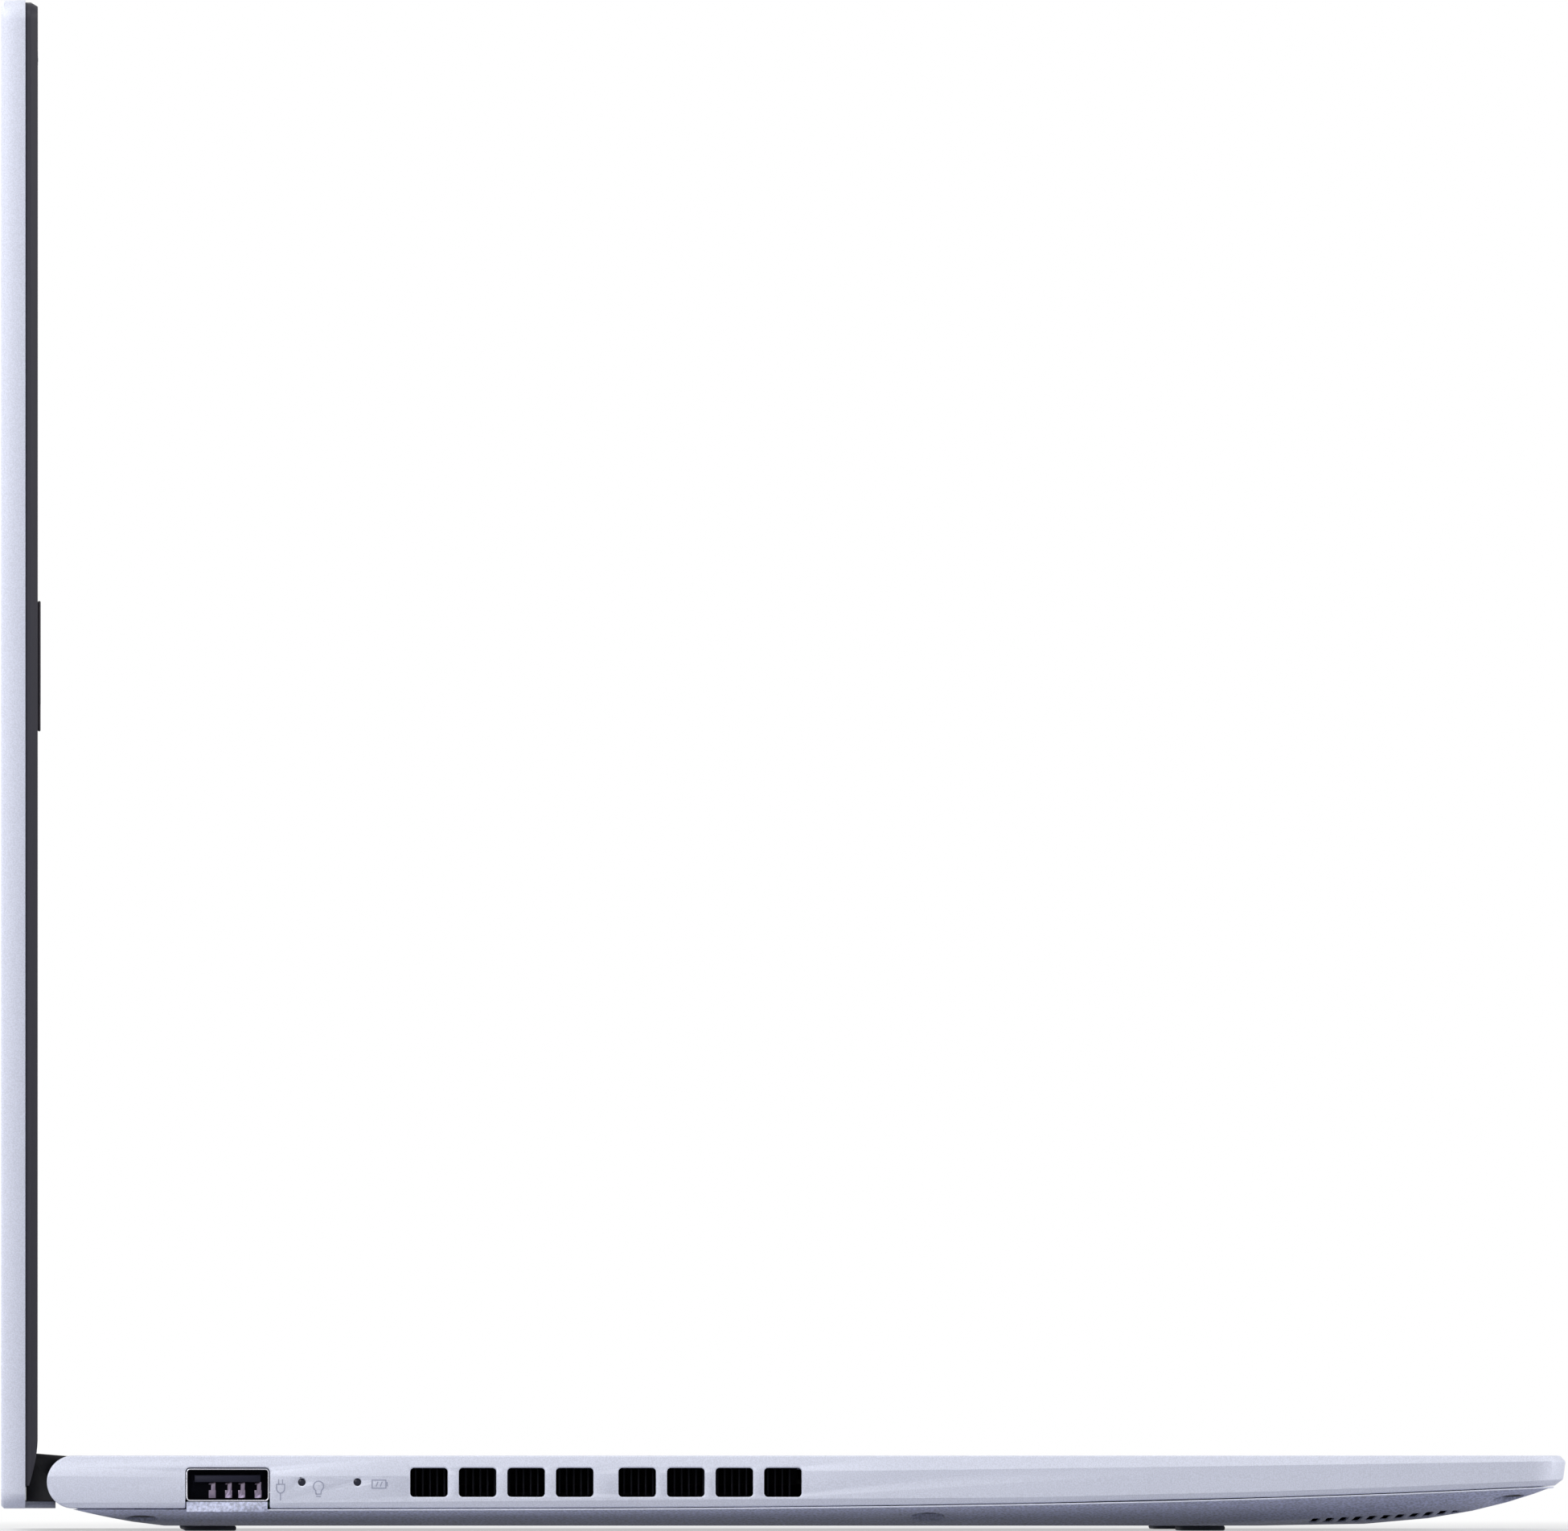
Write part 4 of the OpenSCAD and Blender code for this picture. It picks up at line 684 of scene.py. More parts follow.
class Workshop:
    """Makes pieces on the frame's bodies and gives every surface its finish."""

    def __init__(self, frame: dict[str, Any]) -> None:
        """Keeps the frame's nodes and starts with no material made."""
        self.nodes: dict[str, bpy.types.Object] = frame["nodes"]
        self._made: dict[str, bpy.types.Material] = {}
        self._soft: dict[tuple[float, float], bpy.types.NodeTree] = {}

    def finish(self, name: str) -> bpy.types.Material:
        """The material of a finish, built on first use."""
        if name not in self._made:
            self._made[name] = FINISHES[name].make()
        return self._made[name]

    def dress(self, node: str, finish: str, edge: EdgeRound | None = None) -> None:
        """Gives a node of the frame its finish and rounds its edges.

        Args:
            node: Name of the node.
            finish: Name of the finish.
            edge: Edge rounding, if any.
        """
        piece = self.nodes[node]
        for slot in piece.material_slots:
            slot.material = self.finish(finish)
        if not piece.material_slots:
            piece.data.materials.append(self.finish(finish))
        if edge is not None:
            self._round(piece, edge)
        LOG.info("dressed %s in %s", node, finish)

    def _soft_shading(self, upright: float, level: float) -> bpy.types.NodeTree:
        """Nodes that shade faces smooth and keep the steeper edges sharp, made on first use.

        Args:
            upright: Angle in degrees above which an upright edge stays sharp.
            level: The same for the other edges.

        Returns:
            The node group.
        """
        if (upright, level) not in self._soft:
            s = ShapeNodes("soft_shading")
            ends = {i: s.node("GeometryNodeInputMeshEdgeVertices", out=f"Position {i + 1}") for i in range(2)}
            run = s.node("ShaderNodeVectorMath", {"operation": "SUBTRACT"}, ends)
            way = s.node("ShaderNodeVectorMath", {"operation": "NORMALIZE"}, {0: run})
            stands = abs(s.node("ShaderNodeSeparateXYZ", None, {0: way}, "Z")).above(0.5)
            limit = math.radians(level) + math.radians(upright - level) * stands
            s.smooth()
            s.sharpen(s.turn().above(limit))
            self._soft[upright, level] = s.close()
        return self._soft[upright, level]

    @staticmethod
    def _zone_guard(edge: EdgeRound) -> bpy.types.NodeTree:
        """Nodes that mark the edges to round, and keep those of the spared zone as they are.

        Args:
            edge: The rounding, with its spared zone.

        Returns:
            The node group.
        """
        s = ShapeNodes("zone_guard")
        across, along = (
            s.node("ShaderNodeSeparateXYZ", None, {0: s.node("GeometryNodeInputPosition")}, axis).within(
                span[0] * MM, span[1] * MM)
            for axis, span in (("X", edge.spared_x_mm), ("Y", edge.spared_y_mm)))
        inside = across * along
        s.sharpen(inside)
        s.weigh("bevel_weight_edge", (s.turn().above(math.radians(edge.angle)) - inside).clamped())
        return s.close()

    def _round(self, piece: bpy.types.Object, edge: EdgeRound) -> None:
        """Adds the modifiers that round a piece's edges and shade it smooth between them.

        Args:
            piece: The piece.
            edge: The rounding.
        """
        add = piece.modifiers.new
        add("close_splits", "WELD").merge_threshold = edge.weld_mm * MM
        guard = self._zone_guard(edge) if edge.spared_x_mm else None
        if guard:
            add("zone_kept", "NODES").node_group = guard
        flat = add("join_flat_faces", "DECIMATE")
        flat.decimate_type = "DISSOLVE"
        flat.angle_limit = math.radians(edge.flat_angle)
        if guard:
            flat.delimit = {"SHARP"}
            add("edges_to_round", "NODES").node_group = guard
        bevel = add("edge_round", "BEVEL")
        bevel.width = edge.radius_mm * MM
        bevel.segments = edge.steps
        bevel.limit_method = "WEIGHT" if guard else "ANGLE"
        bevel.angle_limit = math.radians(edge.angle)
        bevel.use_clamp_overlap = edge.clamp
        bevel.harden_normals = True
        bevel.miter_outer = "MITER_ARC"
        add("soft_shading", "NODES").node_group = self._soft_shading(edge.upright_crease, edge.level_crease)

    def piece(self, name: str, draft: Draft, body: str, slot: str, finish: str, smooth: bool = False) -> None:
        """Turns a draft into a piece that rides on a body.

        Args:
            name: Name of the piece.
            draft: Its mesh, in millimetres.
            body: The body that it rides on.
            slot: The material slot of the record.
            finish: Name of the finish.
            smooth: True to shade it smooth.
        """
        bmesh.ops.remove_doubles(draft.mesh, verts=draft.mesh.verts, dist=1e-5)
        bmesh.ops.recalc_face_normals(draft.mesh, faces=draft.mesh.faces)
        draft.mesh.transform(Matrix.Scale(MM, 4))
        mesh = bpy.data.meshes.new(name)
        draft.mesh.to_mesh(mesh)
        draft.mesh.free()
        mesh.shade_smooth() if smooth else mesh.shade_flat()
        self.place(bpy.data.objects.new(name, mesh), body, slot, finish)

    def place(self, made: bpy.types.Object, body: str, slot: str, finish: str) -> None:
        """Puts a new object in the scene, on its body and in its finish.

        Args:
            made: The object.
            body: The body that it rides on.
            slot: The material slot of the record; not used.
            finish: Name of the finish.
        """
        bpy.context.scene.collection.objects.link(made)
        made.data.materials.append(self.finish(finish))
        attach(made, body)
        LOG.info("made %s on %s", made.name, body)

    def surface(self, node: str) -> BVHTree:
        """A tree of a node's faces, for finding its surface, in metres."""
        mesh = self.nodes[node].data
        return BVHTree.FromPolygons([v.co for v in mesh.vertices], [p.vertices for p in mesh.polygons])

    def islands(self, node: str) -> list[tuple[Vector, Vector]]:
        """The boxes of a node's separate solids, in millimetres.

        Args:
            node: Name of the node.

        Returns:
            The lowest and highest corner of each, row by row from the rear, and from left to right in a row.
        """
        shape = bmesh.new()
        shape.from_mesh(self.nodes[node].data)
        bmesh.ops.remove_doubles(shape, verts=shape.verts, dist=1e-6)
        waiting = set(shape.verts)
        boxes: list[tuple[Vector, Vector]] = []
        while waiting:
            edge_of = [waiting.pop()]
            found = list(edge_of)
            while edge_of:
                for link in edge_of.pop().link_edges:
                    for vert in link.verts:
                        if vert in waiting:
                            waiting.remove(vert)
                            edge_of.append(vert)
                            found.append(vert)
            columns = list(zip(*(v.co / MM for v in found)))
            boxes.append((Vector([min(c) for c in columns]), Vector([max(c) for c in columns])))
        shape.free()
        return sorted(boxes, key=lambda b: (-round(b[1].y, 1), b[0].x))


# ---------------------------------------------------------------- base


class Sign(Protocol):
    """A printed sign of thin lines."""

    def lines(self) -> list[Line]:
        """The lines round the sign's own middle, in millimetres."""


@dataclass(frozen=True)
class PlugSign:
    """The charger's sign: a plug's head with two prongs above it and its cord below."""

    half_w: float = 0.62
    shoulder: float = 0.15
    top: float = 0.75
    depth: float = 0.75
    prong_x: float = 0.3
    prong_end: float = 1.45
    cord_start: float = -0.6
    cord_end: float = -1.65

    def lines(self) -> list[Line]:
        """The head, its round foot, the prongs and the cord.

        Returns:
            The lines round the sign's own middle.
        """
        side = self.half_w
        head = [(-side, self.shoulder), (-side, self.top), (side, self.top), (side, self.shoulder)]
        foot = arc(side, -self.depth, (0.0, self.shoulder), turn=180.0, steps=8)
        prongs = [[(x, self.top), (x, self.prong_end)] for x in (-self.prong_x, self.prong_x)]
        return [head, foot, *prongs, [(0.0, self.cord_start), (0.0, self.cord_end)]]


@dataclass(frozen=True)
class BulbSign:
    """The power light's sign: a bulb on its cap."""

    radius: float = 0.78
    middle_z: float = 0.45
    neck_half: float = 0.36
    neck_z: float = -0.75
    cap_half: float = 0.28
    cap_z: float = -1.1

    def lines(self) -> list[Line]:
        """The glass with its neck, and the cap."""
        glass = arc(self.radius, self.radius, (0.0, self.middle_z), start=-55.0, turn=290.0, steps=14)
        right, left = (self.neck_half, self.neck_z), (-self.neck_half, self.neck_z)
        return [[right, *glass, left, right], [(-self.cap_half, self.cap_z), (self.cap_half, self.cap_z)]]


@dataclass(frozen=True)
class CellSign:
    """The battery's sign: a cell with its pole and two bars."""

    half_w: float = 1.05
    half_h: float = 0.62
    pole_x: float = -1.25
    pole_half: float = 0.25
    bars: Point2 = (-0.35, 0.3)
    bar_lean: float = 0.12
    bar_half: float = 0.3

    def lines(self) -> list[Line]:
        """The case, the pole and the bars.

        Returns:
            The lines round the sign's own middle.
        """
        side, high, lean, half = self.half_w, self.half_h, self.bar_lean, self.bar_half
        case = [(-side, -high), (side, -high), (side, high), (-side, high), (-side, -high)]
        bars = [[(x + lean, -half), (x - lean, half)] for x in self.bars]
        return [case, [(self.pole_x, -self.pole_half), (self.pole_x, self.pole_half)], *bars]


@dataclass
class Base:
    """Top case, bottom cover, feet, screws and the marks on the left side."""

    shell_edge: EdgeRound = EdgeRound(0.24, 3, angle=40.0, weld_mm=0.1, clamp=False, level_crease=10.0,
                                      spared_x_mm=(-171.0, 171.0), spared_y_mm=(-19.0, 96.5))
    foot_edge: EdgeRound = EdgeRound(0.3, 3)
    # Span and mesh of the dark cloth that paints the shade inside the speaker slots.
    cloth_x: Point2 = (163.4, 171.2)
    cloth_y: Point2 = (-104.5, -79.8)
    cloth_rows: int = 10
    cloth_columns: int = 4
    cloth_inset_mm: float = 0.06
    cloth_mm: float = 0.12
    bead_r_mm: float = 0.13
    bead_drop_mm: float = 0.1
    bead_end_y: float = 96.0
    bead_middle_y: float = -40.0
    rim_reach_mm: float = 0.02
    shortest_side_mm: float = 1.0
    mark_line_mm: float = 0.17
    mark_rise_mm: float = 0.02
    mark_step_share: float = 0.5
    mark_end_share: float = 0.9
    signs: tuple[tuple[Sign, Point2], ...] = (
        (PlugSign(), (77.0, 6.4)), (BulbSign(), (71.2, 6.4)), (CellSign(), (61.95, 7.17)))

    def build(self, shop: Workshop) -> None:
        """Dresses the nodes and adds the slots' dark cloth of painted shade, the seam's bead and the signs.

        Args:
            shop: Where pieces are made.
        """
        shop.dress("top_case", "silver_shell", self.shell_edge)
        shop.dress("bottom_cover", "silver_cover", EdgeRound(0.16))
        shop.dress("front_feet", "foot_rubber", self.foot_edge)
        shop.dress("rear_feet", "foot_rubber", self.foot_edge)
        shop.dress("bottom_screws", "dark_screws", EdgeRound(0.1))
        for side in Side:
            self._speaker_cloth(shop, side)
        self._seam_bead(shop)
        self._print_signs(shop)

    def _speaker_cloth(self, shop: Workshop, side: Side) -> None:
        """Stretches dark cloth across the speaker slots, just under the cover's outer face, as painted shade
        for the slots' shadowed insides.

        Args:
            shop: Where pieces are made.
            side: The speaker's side.
        """
        skin = shop.surface("bottom_cover")
        cloth = Draft()
        inset, thick = Vector((0, 0, self.cloth_inset_mm)), Vector((0, 0, self.cloth_mm))
        shares = [j / self.cloth_columns for j in range(self.cloth_columns + 1)]
        rows: list[list[Vector]] = []
        for i in range(self.cloth_rows + 1):
            y = self.cloth_y[0] + (self.cloth_y[1] - self.cloth_y[0]) * i / self.cloth_rows
            start, end = (self._cover_point(skin, side.value * x, y) for x in self.cloth_x)
            rows.append([start.lerp(end, share) + inset for share in shares])
        for low, high in zip(rows, rows[1:]):
            for j in range(self.cloth_columns):
                patch = [low[j], low[j + 1], high[j + 1], high[j]]
                cloth.solid(patch, [corner + thick for corner in patch])
        shop.piece(f"{side.name.lower()}_speaker_cloth_and_slot_shade", cloth, "base", "black_plastic", "speaker_cloth_and_slot_shade")

    @staticmethod
    def _cover_point(skin: BVHTree, x: float, y: float) -> Vector:
        """The bottom cover's outer face at an (x, y) place, in millimetres."""
        return skin.ray_cast(Vector((x * MM, y * MM, -0.01)), Vector((0.0, 0.0, 1.0)))[0] / MM

    def _seam_bead(self, shop: Workshop) -> None:
        """Runs the cover's round lip along the seam, from the left rear round the front to the right rear.

        Args:
            shop: Where pieces are made.
        """
        points = [v.co / MM for v in shop.nodes["bottom_cover"].data.vertices if v.co.x > 0]
        hull = [points[i].xy for i in convex_hull_2d([p.xy for p in points])]
        sides = [side for side in zip(hull, hull[1:] + hull[:1])
                 if (side[1] - side[0]).length > self.shortest_side_mm]
        rim: dict[Point2, float] = {}
        for point in points:
            near = any(self._off_line(point.xy, *side) < self.rim_reach_mm for side in sides)
            if near and point.y < self.bead_end_y:
                key = (round(point.x, 1), round(point.y, 1))
                rim[key] = max(rim.get(key, point.z), point.z)
        right = sorted(rim.items(), key=lambda item: math.atan2(item[0][0], self.bead_middle_y - item[0][1]))
        path = [((-x, y), z) for (x, y), z in reversed(right)] + right
        curve = bpy.data.curves.new("seam_bead", "CURVE")
        curve.dimensions = "3D"
        curve.bevel_depth = self.bead_r_mm * MM
        curve.bevel_resolution = 2
        curve.use_fill_caps = True
        line = curve.splines.new("POLY")
        line.points.add(len(path) - 1)
        for point, ((x, y), z) in zip(line.points, path):
            point.co = (x * MM, y * MM, (z - self.bead_drop_mm) * MM, 1.0)
        shop.place(bpy.data.objects.new("seam_bead", curve), "base", "silver_cover", "silver_shell")

    @staticmethod
    def _off_line(point: Vector, start: Vector, end: Vector) -> float:
        """How far a point lies from the line through start and end."""
        run = end - start
        return abs(run.cross(point - start)) / run.length

    def _print_signs(self, shop: Workshop) -> None:
        """Prints the plug, bulb and battery signs on the left side.

        Args:
            shop: Where pieces are made.
        """
        skin = shop.surface("top_case")
        draft = Draft()
        for sign, (y, z) in self.signs:
            for line in sign.lines():
                self._stroke(draft, skin, [(y + across, z + up) for across, up in line])
        shop.piece("left_side_marks", draft, "base", "black_plastic", "side_mark")

    def _stroke(self, draft: Draft, skin: BVHTree, path: Line) -> None:
        """Lays one ink line on the left wall. Every other part stands higher, so that no two faces coincide.

        Args:
            draft: The mesh that takes it.
            skin: The wall's faces.
            path: The line's (y, z) points.
        """
        half = self.mark_line_mm / 2
        for i, ends in enumerate(zip(path, path[1:])):
            rise = self.mark_rise_mm * (1 + i % 2 * self.mark_step_share)
            start, end = (Vector(point) for point in ends)
            way = (end - start).normalized() * half
            along, across = way * self.mark_end_share, Vector((-way.y, way.x))
            corners = [start - along - across, end + along - across,
                       end + along + across, start - along + across]
            level = [self._wall_x(skin, c) for c in corners]
            outer, inner = ([Vector((x + shift, c.x, c.y)) for x, c in zip(level, corners)]
                            for shift in (-rise, rise))
            draft.solid(outer, inner)

    @staticmethod
    def _wall_x(skin: BVHTree, point: Vector) -> float:
        """The left wall's x at a (y, z) point, in millimetres."""
        return skin.ray_cast(Vector((-1.0, *(point * MM))), Vector((1.0, 0.0, 0.0)))[0].x / MM


@dataclass
class Sockets:
    """Sockets, lights and their metal contacts."""

    edge: EdgeRound = EdgeRound(0.06)
    finishes: dict[str, str] = field(default_factory=lambda: {
        "left_usb_shell": "socket_metal", "right_usb_shells": "socket_metal",
        "left_usb_tongue": "socket_tongue", "right_usb_tongues": "socket_tongue",
        "left_usb_contacts": "contact_metal", "hdmi_socket": "socket_metal", "usb_c_socket": "socket_metal",
        "audio_socket": "black_plastic", "power_socket": "black_plastic", "status_lights": "light_guide",
        "left_port_board": "circuit_board",
    })

    def build(self, shop: Workshop) -> None:
        """Dresses the nodes of both sides."""
        for node, finish in self.finishes.items():
            shop.dress(node, finish, self.edge)


@dataclass
class InnerParts:
    """Boards, battery, cooling and speakers inside the base."""

    film_mm: float = 0.15
    film_gap_mm: float = 0.02
    duct_drop_mm: float = 2.8
    finishes: dict[str, str] = field(default_factory=lambda: {
        # The keyboard plate is black partly as painted shade for its edge seen through the vents.
        "keyboard_plate": "black_steel", "battery_pack": "battery_wrap", "mainboard": "circuit_board",
        # The heat pipe and fins are near black: blackened metal, and painted shade for the vents' insides.
        "heat_pipe": "black_metal", "heatsink_fins": "black_metal", "fan_housing": "black_plastic",
        "fan_rotor": "black_plastic", "memory_module": "circuit_board", "storage_drive": "black_plastic",
        "wireless_card": "steel", "left_speaker": "black_plastic", "right_speaker": "black_plastic",
        "hinge_base_left": "steel", "hinge_base_right": "steel", "hinge_screws": "steel",
        "touchpad_frame": "steel",
    })

    def build(self, shop: Workshop) -> None:
        """Dresses the nodes and closes the fan's duct."""
        for node, finish in self.finishes.items():
            shop.dress(node, finish)
        self._duct(shop)

    def _duct(self, shop: Workshop) -> None:
        """Folds a film from the top of the fins down to the fan's housing, which closes the air duct.

        Args:
            shop: Where pieces are made.
        """
        fins_low, fins_high = (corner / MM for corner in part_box("heatsink_fins"))
        fan_low, fan_high = (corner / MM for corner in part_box("fan_housing"))
        thick = self.film_mm
        back = fins_high.x + thick
        bend = fins_high.z - self.duct_drop_mm
        lid = fan_high.z + self.film_gap_mm
        fold = [(back, fins_high.z), (back, bend), (fan_low.x, lid), (fan_low.x, lid + thick),
                (back + thick, bend + thick), (back + thick, fins_high.z)]
        film = Draft()
        film.prism(fold, Axis.Y, fins_low.y, fins_high.y)
        shop.piece("fan_duct_film", film, "base", "black_plastic", "duct_film")


@dataclass
class Touchpad:
    """The touchpad's plate."""

    edge: EdgeRound = EdgeRound(0.18, 3)

    def build(self, shop: Workshop) -> None:
        """Dresses the plate."""
        shop.dress("touchpad", "touchpad_surface", self.edge)


# ---------------------------------------------------------------- keyboard


@dataclass(frozen=True)
class Legend:
    """The words of one key: the main one, and the one above it if there is one."""

    main: str
    upper: str = ""
    size_mm: float = 3.4


def words(text: str, size_mm: float = 2.3) -> list[Legend]:
    """Small legends from words parted by spaces. An underscore stands for a space in a word."""
    return [Legend(word.replace("_", " "), size_mm=size_mm) for word in text.split()]


def letters(text: str) -> list[Legend]:
    """One large legend for each letter."""
    return [Legend(letter) for letter in text]


def pairs(text: str) -> list[Legend]:
    """Legends of two signs, written as the main sign and the shifted one."""
    return [Legend(pair[0], pair[1], size_mm=2.9) for pair in text.split()]


@dataclass
class Keyboard:
    """Key caps with their printed legends."""

    edge: EdgeRound = EdgeRound(0.3, 3)
    margin_mm: float = 2.2
    single_margin_mm: float = 1.98
    rise_mm: float = 0.015
    capital_share: float = 0.74
    tall_cap_mm: float = 12.0
    arrow_points: Line = ((1.15, 0.0), (-0.75, 1.1), (-0.75, -1.1))
    ring_radii: Point2 = (0.95, 1.3)
    bar_half_w: float = 0.17
    bar_span: Point2 = (0.35, 1.5)
    legends: dict[str, list[Legend]] = field(default_factory=lambda: {
        "function_keys": words("esc F1 F2 F3 F4 F5 F6 F7 F8 F9 F10 F11 F12 delete home pg_up pg_dn", 2.0),
        "power_key": [],
        "number_keys": pairs("`~ 1! 2@ 3# 4$ 5% 6^ 7& 8* 9( 0) -_ =+") + words("backspace"),
        "upper_letter_keys": words("tab") + letters("QWERTYUIOP") + pairs("[{ ]} \\|"),
        "home_letter_keys": words("caps") + letters("ASDFGHJKL") + pairs(";: '\"") + words("enter"),
        "lower_letter_keys": words("shift") + letters("ZXCVBNM") + pairs(",< .> /?") + words("shift"),
        "left_command_keys": words("ctrl fn menu alt"),
        "space_bar": [],
        "right_command_keys": words("alt ctrl"),
        "arrow_keys": [],
        "number_pad_keys": words("num / * -") + letters("789+456123") + words("enter") + letters("0."),
    })

    def build(self, shop: Workshop) -> None:
        """Dresses the caps and prints their legends.

        Args:
            shop: Where pieces are made.
        """
        for node, row in self.legends.items():
            shop.dress(node, "key_plastic", self.edge)
            caps = shop.islands(node)
            draft = Draft()
            for cap, legend in zip(caps, row):
                self._print(draft, cap, legend)
            if node == "arrow_keys":
                self._arrows(draft, caps)
            if node == "power_key":
                self._power_sign(draft, caps[0])
            if draft.mesh.verts:
                shop.piece(f"{node}_legends", draft, node, "key_plastic", "legend")
            else:
                draft.mesh.free()

    def _print(self, draft: Draft, cap: tuple[Vector, Vector], legend: Legend) -> None:
        """Prints one key's legend on its top.

        Args:
            draft: The mesh that takes it.
            cap: The key's lowest and highest corner.
            legend: What is printed.
        """
        low, high = cap
        letter_h = legend.size_mm * self.capital_share
        left, upper_y = low.x + self.margin_mm, high.y - self.margin_mm - letter_h
        if legend.upper:
            self._text(draft, legend.main, legend.size_mm, left, low.y + self.margin_mm, high.z)
            self._text(draft, legend.upper, legend.size_mm, left, upper_y, high.z)
            return
        y = (low.y + high.y - letter_h) / 2 if high.y - low.y < self.tall_cap_mm else upper_y
        self._text(draft, legend.main, legend.size_mm, low.x + self.single_margin_mm, y, high.z)

    def _text(self, draft: Draft, text: str, size: float, x: float, y: float, z: float) -> None:
        """Adds flat lettering with a little thickness.

        Args:
            draft: The mesh that takes it.
            text: The letters.
            size: Letter size in millimetres.
            x: Left end.
            y: Foot of the letters.
            z: Level of the surface under them.
        """
        curve = bpy.data.curves.new("lettering", "FONT")
        curve.body = text
        curve.size = size
        curve.extrude = self.rise_mm
        curve.resolution_u = 3
        holder = bpy.data.objects.new("lettering", curve)
        bpy.context.scene.collection.objects.link(holder)
        flat = holder.to_mesh()
        flat.transform(Matrix.Translation((x, y, z)))
        draft.mesh.from_mesh(flat)
        holder.to_mesh_clear()
        bpy.data.objects.remove(holder)
        bpy.data.curves.remove(curve)

    def _arrows(self, draft: Draft, caps: Sequence[tuple[Vector, Vector]]) -> None:
        """Prints the four arrows, in the caps' order of left, up, right and down."""
        for cap, quarter in zip(caps, (2, 1, 0, 3)):
            turn = Matrix.Rotation(math.pi / 2 * quarter, 2)
            self._shape(draft, cap, [turn @ Vector(p) for p in self.arrow_points])

    def _power_sign(self, draft: Draft, cap: tuple[Vector, Vector]) -> None:
        """Prints a broken ring with a bar, the common sign of a power key.

        Args:
            draft: The mesh that takes it.
            cap: The key's lowest and highest corner.
        """
        inner, outer = (arc(radius, radius, start=120.0, turn=300.0) for radius in self.ring_radii)
        for i in range(len(inner) - 1):
            self._shape(draft, cap, [inner[i], outer[i], outer[i + 1], inner[i + 1]])
        half, (foot, top) = self.bar_half_w, self.bar_span
        self._shape(draft, cap, [(-half, foot), (half, foot), (half, top), (-half, top)])

    def _shape(self, draft: Draft, cap: tuple[Vector, Vector], outline: Sequence[Vector | Point2]) -> None:
        """Prints a flat shape round the middle of a key's top.

        Args:
            draft: The mesh that takes it.
            cap: The key's lowest and highest corner.
            outline: Points round the middle of the key's top.
        """
        low, high = cap
        centre = (low + high) / 2
        draft.prism([(centre.x + x, centre.y + y) for x, y in outline], Axis.Z,
                    high.z - self.rise_mm, high.z + self.rise_mm)


# ---------------------------------------------------------------- lid


@dataclass
class Lid:
    """Lid cover, bezel, screen, camera and hinge bar. Profiles hold (height off the face, radius) points."""

    edge: EdgeRound = EdgeRound(0.15)
    microphone_x: float = 28.0
    lamp_x: float = 9.0
    lens_profile: Line = ((-0.05, 0), (-0.02, 0.75), (0.06, 0.95), (-0.1, 1.05), (-0.3, 1.05))
    hole_profile: Line = ((-0.1, 0.5), (0.012, 0.5), (0.012, 0.32), (-0.06, 0))
    lamp_profile: Line = ((-0.1, 0.45), (0.015, 0.45), (0.04, 0.3), (0.05, 0))
    inner_finishes: dict[str, str] = field(default_factory=lambda: {
        "display_panel": "screen_glass", "backlight_unit": "backlight", "hinge_arm_left": "steel",
        "hinge_arm_right": "steel", "lid_screws": "steel", "lid_antennas": "antenna_foil",
        "display_cable": "cable_jacket",
    })

    def build(self, shop: Workshop) -> None:
        """Dresses the lid and adds the camera's details.

        Args:
            shop: Where pieces are made.
        """
        shop.dress("lid_cover", "silver_shell", self.edge)
        shop.dress("screen_bezel", "bezel", self.edge)
        shop.dress("hinge_cover", "black_plastic", self.edge)
        shop.dress("bezel_bumpers", "black_rubber", EdgeRound(0.2, 3))
        shop.dress("camera_module", "camera_glass", EdgeRound(0.1))
        for node, finish in self.inner_finishes.items():
            shop.dress(node, finish)
        self._camera(shop)

    def _camera(self, shop: Workshop) -> None:
        """Adds the lens with its ring, the microphone holes and the lamp beside it.

        Args:
            shop: Where pieces are made.
        """
        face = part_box("screen_bezel")[0].y / MM
        glass_low, glass_high = (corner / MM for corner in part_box("camera_module"))
        z = (glass_low.z + glass_high.z) / 2
        out = Vector((0, -1, 0))
        lens, holes, lamp = Draft(), Draft(), Draft()
        lens.lathe(self.lens_profile, Vector((0, glass_low.y, z)), out)
        shop.piece("camera_lens", lens, "lid", "camera_glass", "camera_glass", smooth=True)
        for x in (-self.microphone_x, self.microphone_x):
            holes.lathe(self.hole_profile, Vector((x, face, z)), out, 20)
        shop.piece("microphone_holes", holes, "lid", "black_plastic", "black_plastic")
        lamp.lathe(self.lamp_profile, Vector((self.lamp_x, face, z)), out, 20)
        shop.piece("camera_lamp", lamp, "lid", "light_guide", "light_guide", smooth=True)


# ---------------------------------------------------------------- studio


@dataclass(frozen=True)
class Lamp:
    """A soft square lamp: where it stands, its size and its power."""

    name: str
    place: Point3
    size: float
    power: float


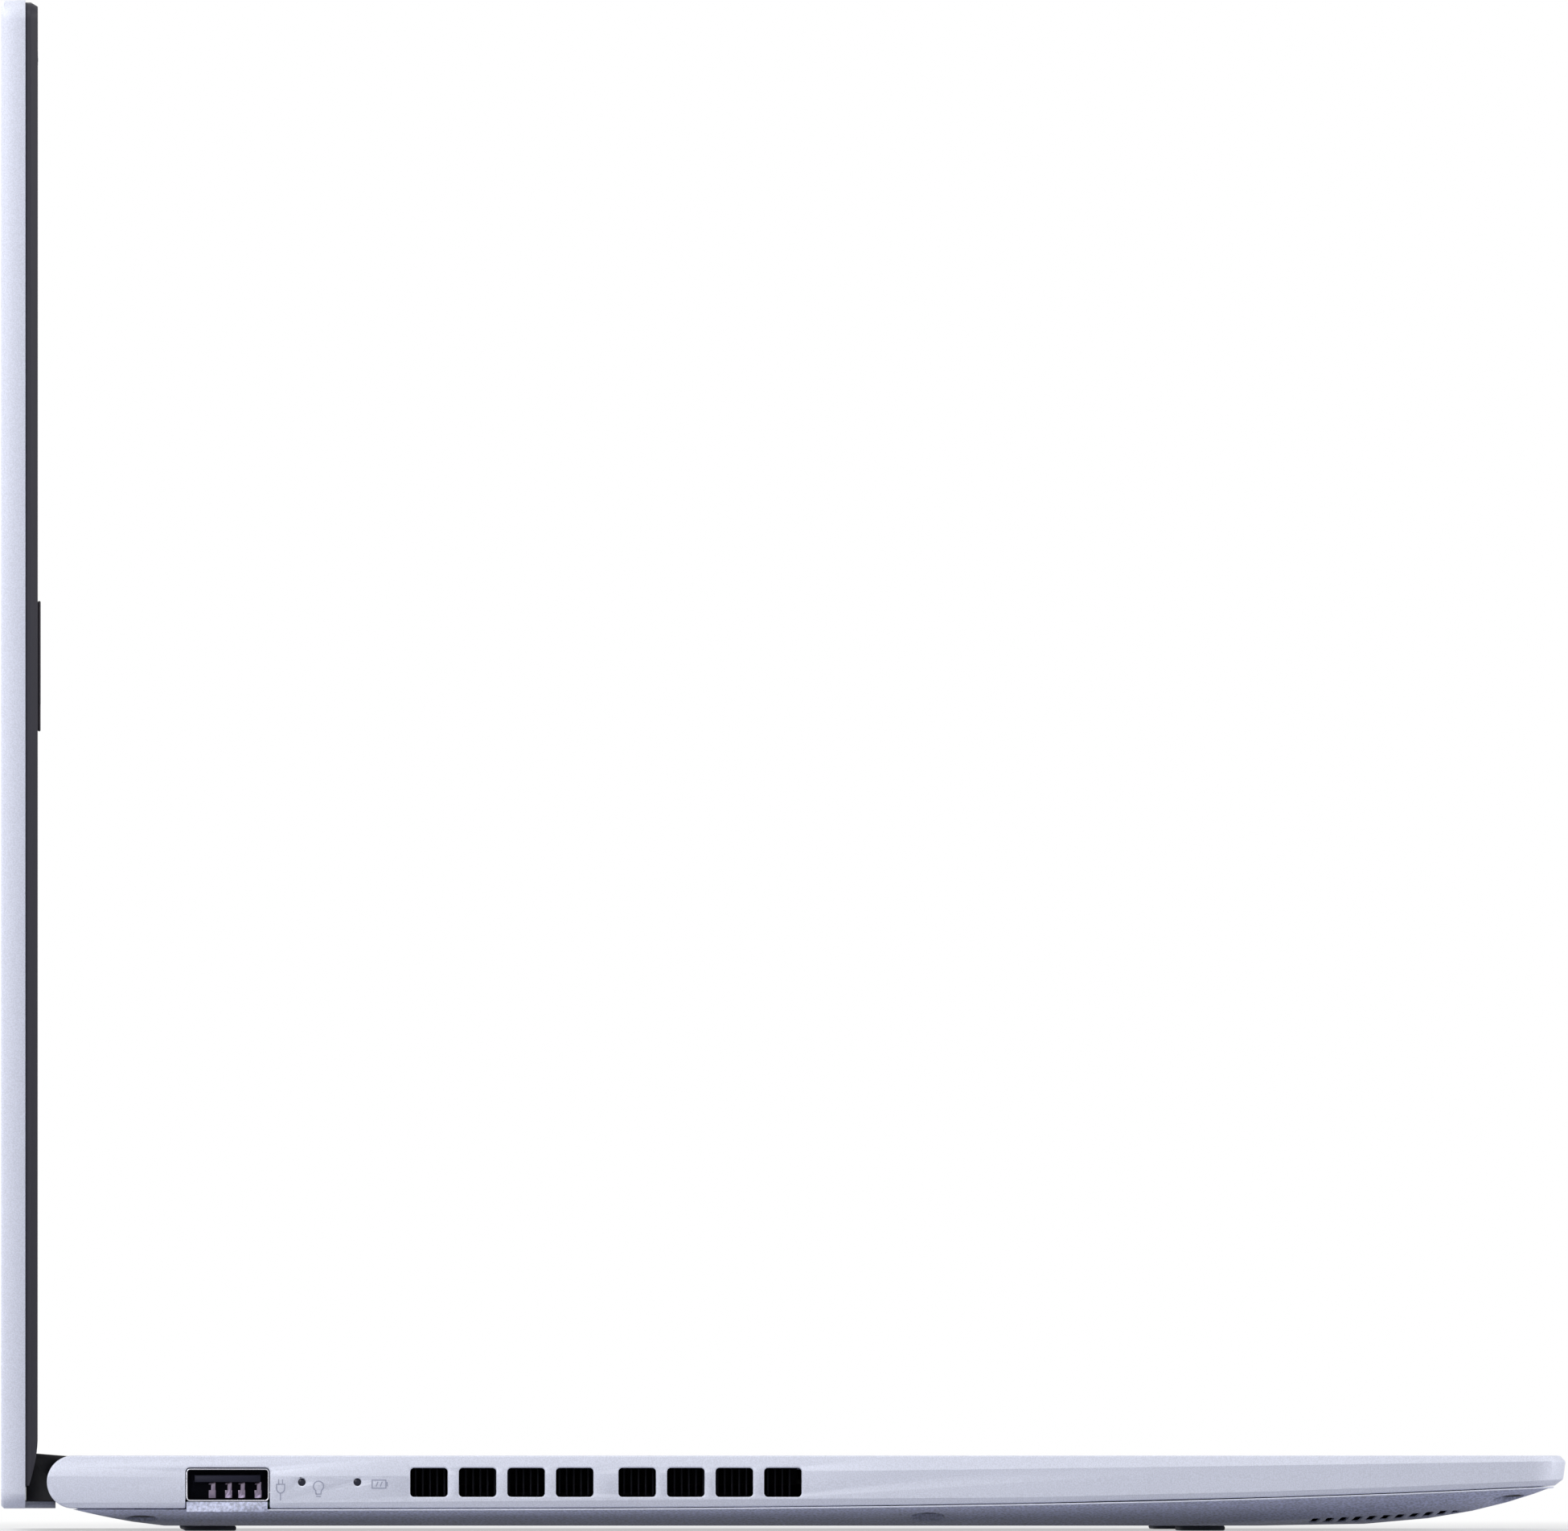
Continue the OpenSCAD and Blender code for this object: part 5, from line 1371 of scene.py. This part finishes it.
@dataclass
class Studio:
    """Floor, lamps, white surroundings and the camera."""

    aim: Point3 = (-0.18, 0.0, 0.1171)
    camera_at: Point3 = (-10.0, 0.1141, 0.0115)
    lens_mm: float = 1474.0
    sensor_mm: float = 36.0
    clip: Point2 = (0.5, 60.0)
    target: Point3 = (0.0, 0.0, 0.1)
    ambient: float = 0.24
    sky: Rgb = (0.93, 0.95, 1.0)
    floor_half: float = 30.0
    floor_shade: Rgb = (0.9, 0.9, 0.9)
    floor_bounce: Rgb = (0.4, 0.41, 0.48)
    shadow_reach: Point2 = (0.45, 1.6)
    white_near: float = 0.5
    lamps: tuple[Lamp, ...] = (
        Lamp("left_lamp", (-0.85, 0.75, 0.75), 0.8, 11.0),
        Lamp("right_lamp", (1.6, 0.3, 0.85), 1.2, 9.0),
        Lamp("front_lamp", (-0.4, -1.8, 0.55), 1.0, 20.0),
        Lamp("rear_lamp", (0.5, 1.8, 0.85), 1.2, 6.0),
        Lamp("top_lamp", (0.0, 0.1, 2.1), 1.4, 3.0),
    )

    @staticmethod
    def _stand(name: str, data: bpy.types.Camera | bpy.types.Light, place: Point3,
               aim: Point3) -> bpy.types.Object:
        """Puts a camera or a lamp in the scene.

        Args:
            name: Its name.
            data: What it is.
            place: Where it stands.
            aim: The point that it faces.

        Returns:
            The new object.
        """
        made = bpy.data.objects.new(name, data)
        bpy.context.scene.collection.objects.link(made)
        made.location = place
        made.rotation_mode = "QUATERNION"
        made.rotation_quaternion = (Vector(aim) - Vector(place)).to_track_quat("-Z", "Y")
        LOG.info("placed %s", name)
        return made

    def camera(self) -> None:
        """Places the camera at the left side, far off with a long lens."""
        data = bpy.data.cameras.new("studio_camera")
        data.sensor_width = self.sensor_mm
        data.lens = self.lens_mm
        data.clip_start, data.clip_end = self.clip
        bpy.context.scene.camera = self._stand("studio_camera", data, self.camera_at, self.aim)

    def light(self) -> None:
        """Places the lamps."""
        for lamp in self.lamps:
            data = bpy.data.lights.new(lamp.name, "AREA")
            data.size = lamp.size
            data.energy = lamp.power
            self._stand(lamp.name, data, lamp.place, self.target)

    def surroundings(self) -> None:
        """Makes the world white to the camera and in reflections, and softer as a light."""
        world = bpy.data.worlds.new("studio_world")
        world.use_nodes = True
        bpy.context.scene.world = world
        sheet = NodeSheet(world.node_tree)
        soft, white = (
            sheet.node("ShaderNodeBackground", None, {"Color": (*colour, 1.0), "Strength": strength})
            for colour, strength in ((self.sky, self.ambient), ((1.0, 1.0, 1.0), 1.0)))
        sheet.add("ShaderNodeOutputWorld", None, {
            "Surface": sheet.mix_shaders(sheet.background_rays(), soft, white)})
        LOG.info("set the surroundings")

    def floor(self) -> None:
        """Lays the pale floor. It reads white where it is lit, and keeps the shadow."""
        half = self.floor_half
        shape = bmesh.new()
        corners = ((-half, -half, 0), (half, -half, 0), (half, half, 0), (-half, half, 0))
        shape.faces.new([shape.verts.new(corner) for corner in corners])
        mesh = bpy.data.meshes.new("studio_floor")
        shape.to_mesh(mesh)
        shape.free()
        made = bpy.data.objects.new("studio_floor", mesh)
        bpy.context.scene.collection.objects.link(made)
        s = Surface("studio_floor")
        away = s.node("ShaderNodeVectorMath", {"operation": "LENGTH"}, {0: s.place()}, "Value")
        whiteness = s.node("ShaderNodeMapRange", {"interpolation_type": "SMOOTHSTEP"}, {
            "Value": away, "From Min": self.shadow_reach[0], "From Max": self.shadow_reach[1],
            "To Min": self.white_near, "To Max": 1.0})
        seen = s.background_rays()
        s.blend(self.floor_bounce, self.floor_shade, seen)
        s.feed("Roughness", 0.9)
        s.feed("Specular IOR Level", 0.0)
        paint, white = Wire(s.tree, s.shader.outputs[0]), s.node("ShaderNodeEmission")
        s.show(s.mix_shaders(seen * whiteness, paint, white))
        mesh.materials.append(s.material)
        LOG.info("laid the floor")


def main() -> None:
    """Builds the scene in order."""
    logging.basicConfig(level=logging.INFO, format="%(name)s: %(message)s")
    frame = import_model()
    bpy.context.scene.view_settings.view_transform = "Standard"
    studio = Studio()
    studio.camera()
    shop = Workshop(frame)
    steps: tuple[Callable[[Workshop], None], ...] = (
        Base().build, Sockets().build, InnerParts().build, Touchpad().build, Keyboard().build, Lid().build)
    for step in steps:
        step(shop)
    studio.floor()
    studio.light()
    studio.surroundings()
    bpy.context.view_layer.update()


if __name__ == "__main__":
    main()
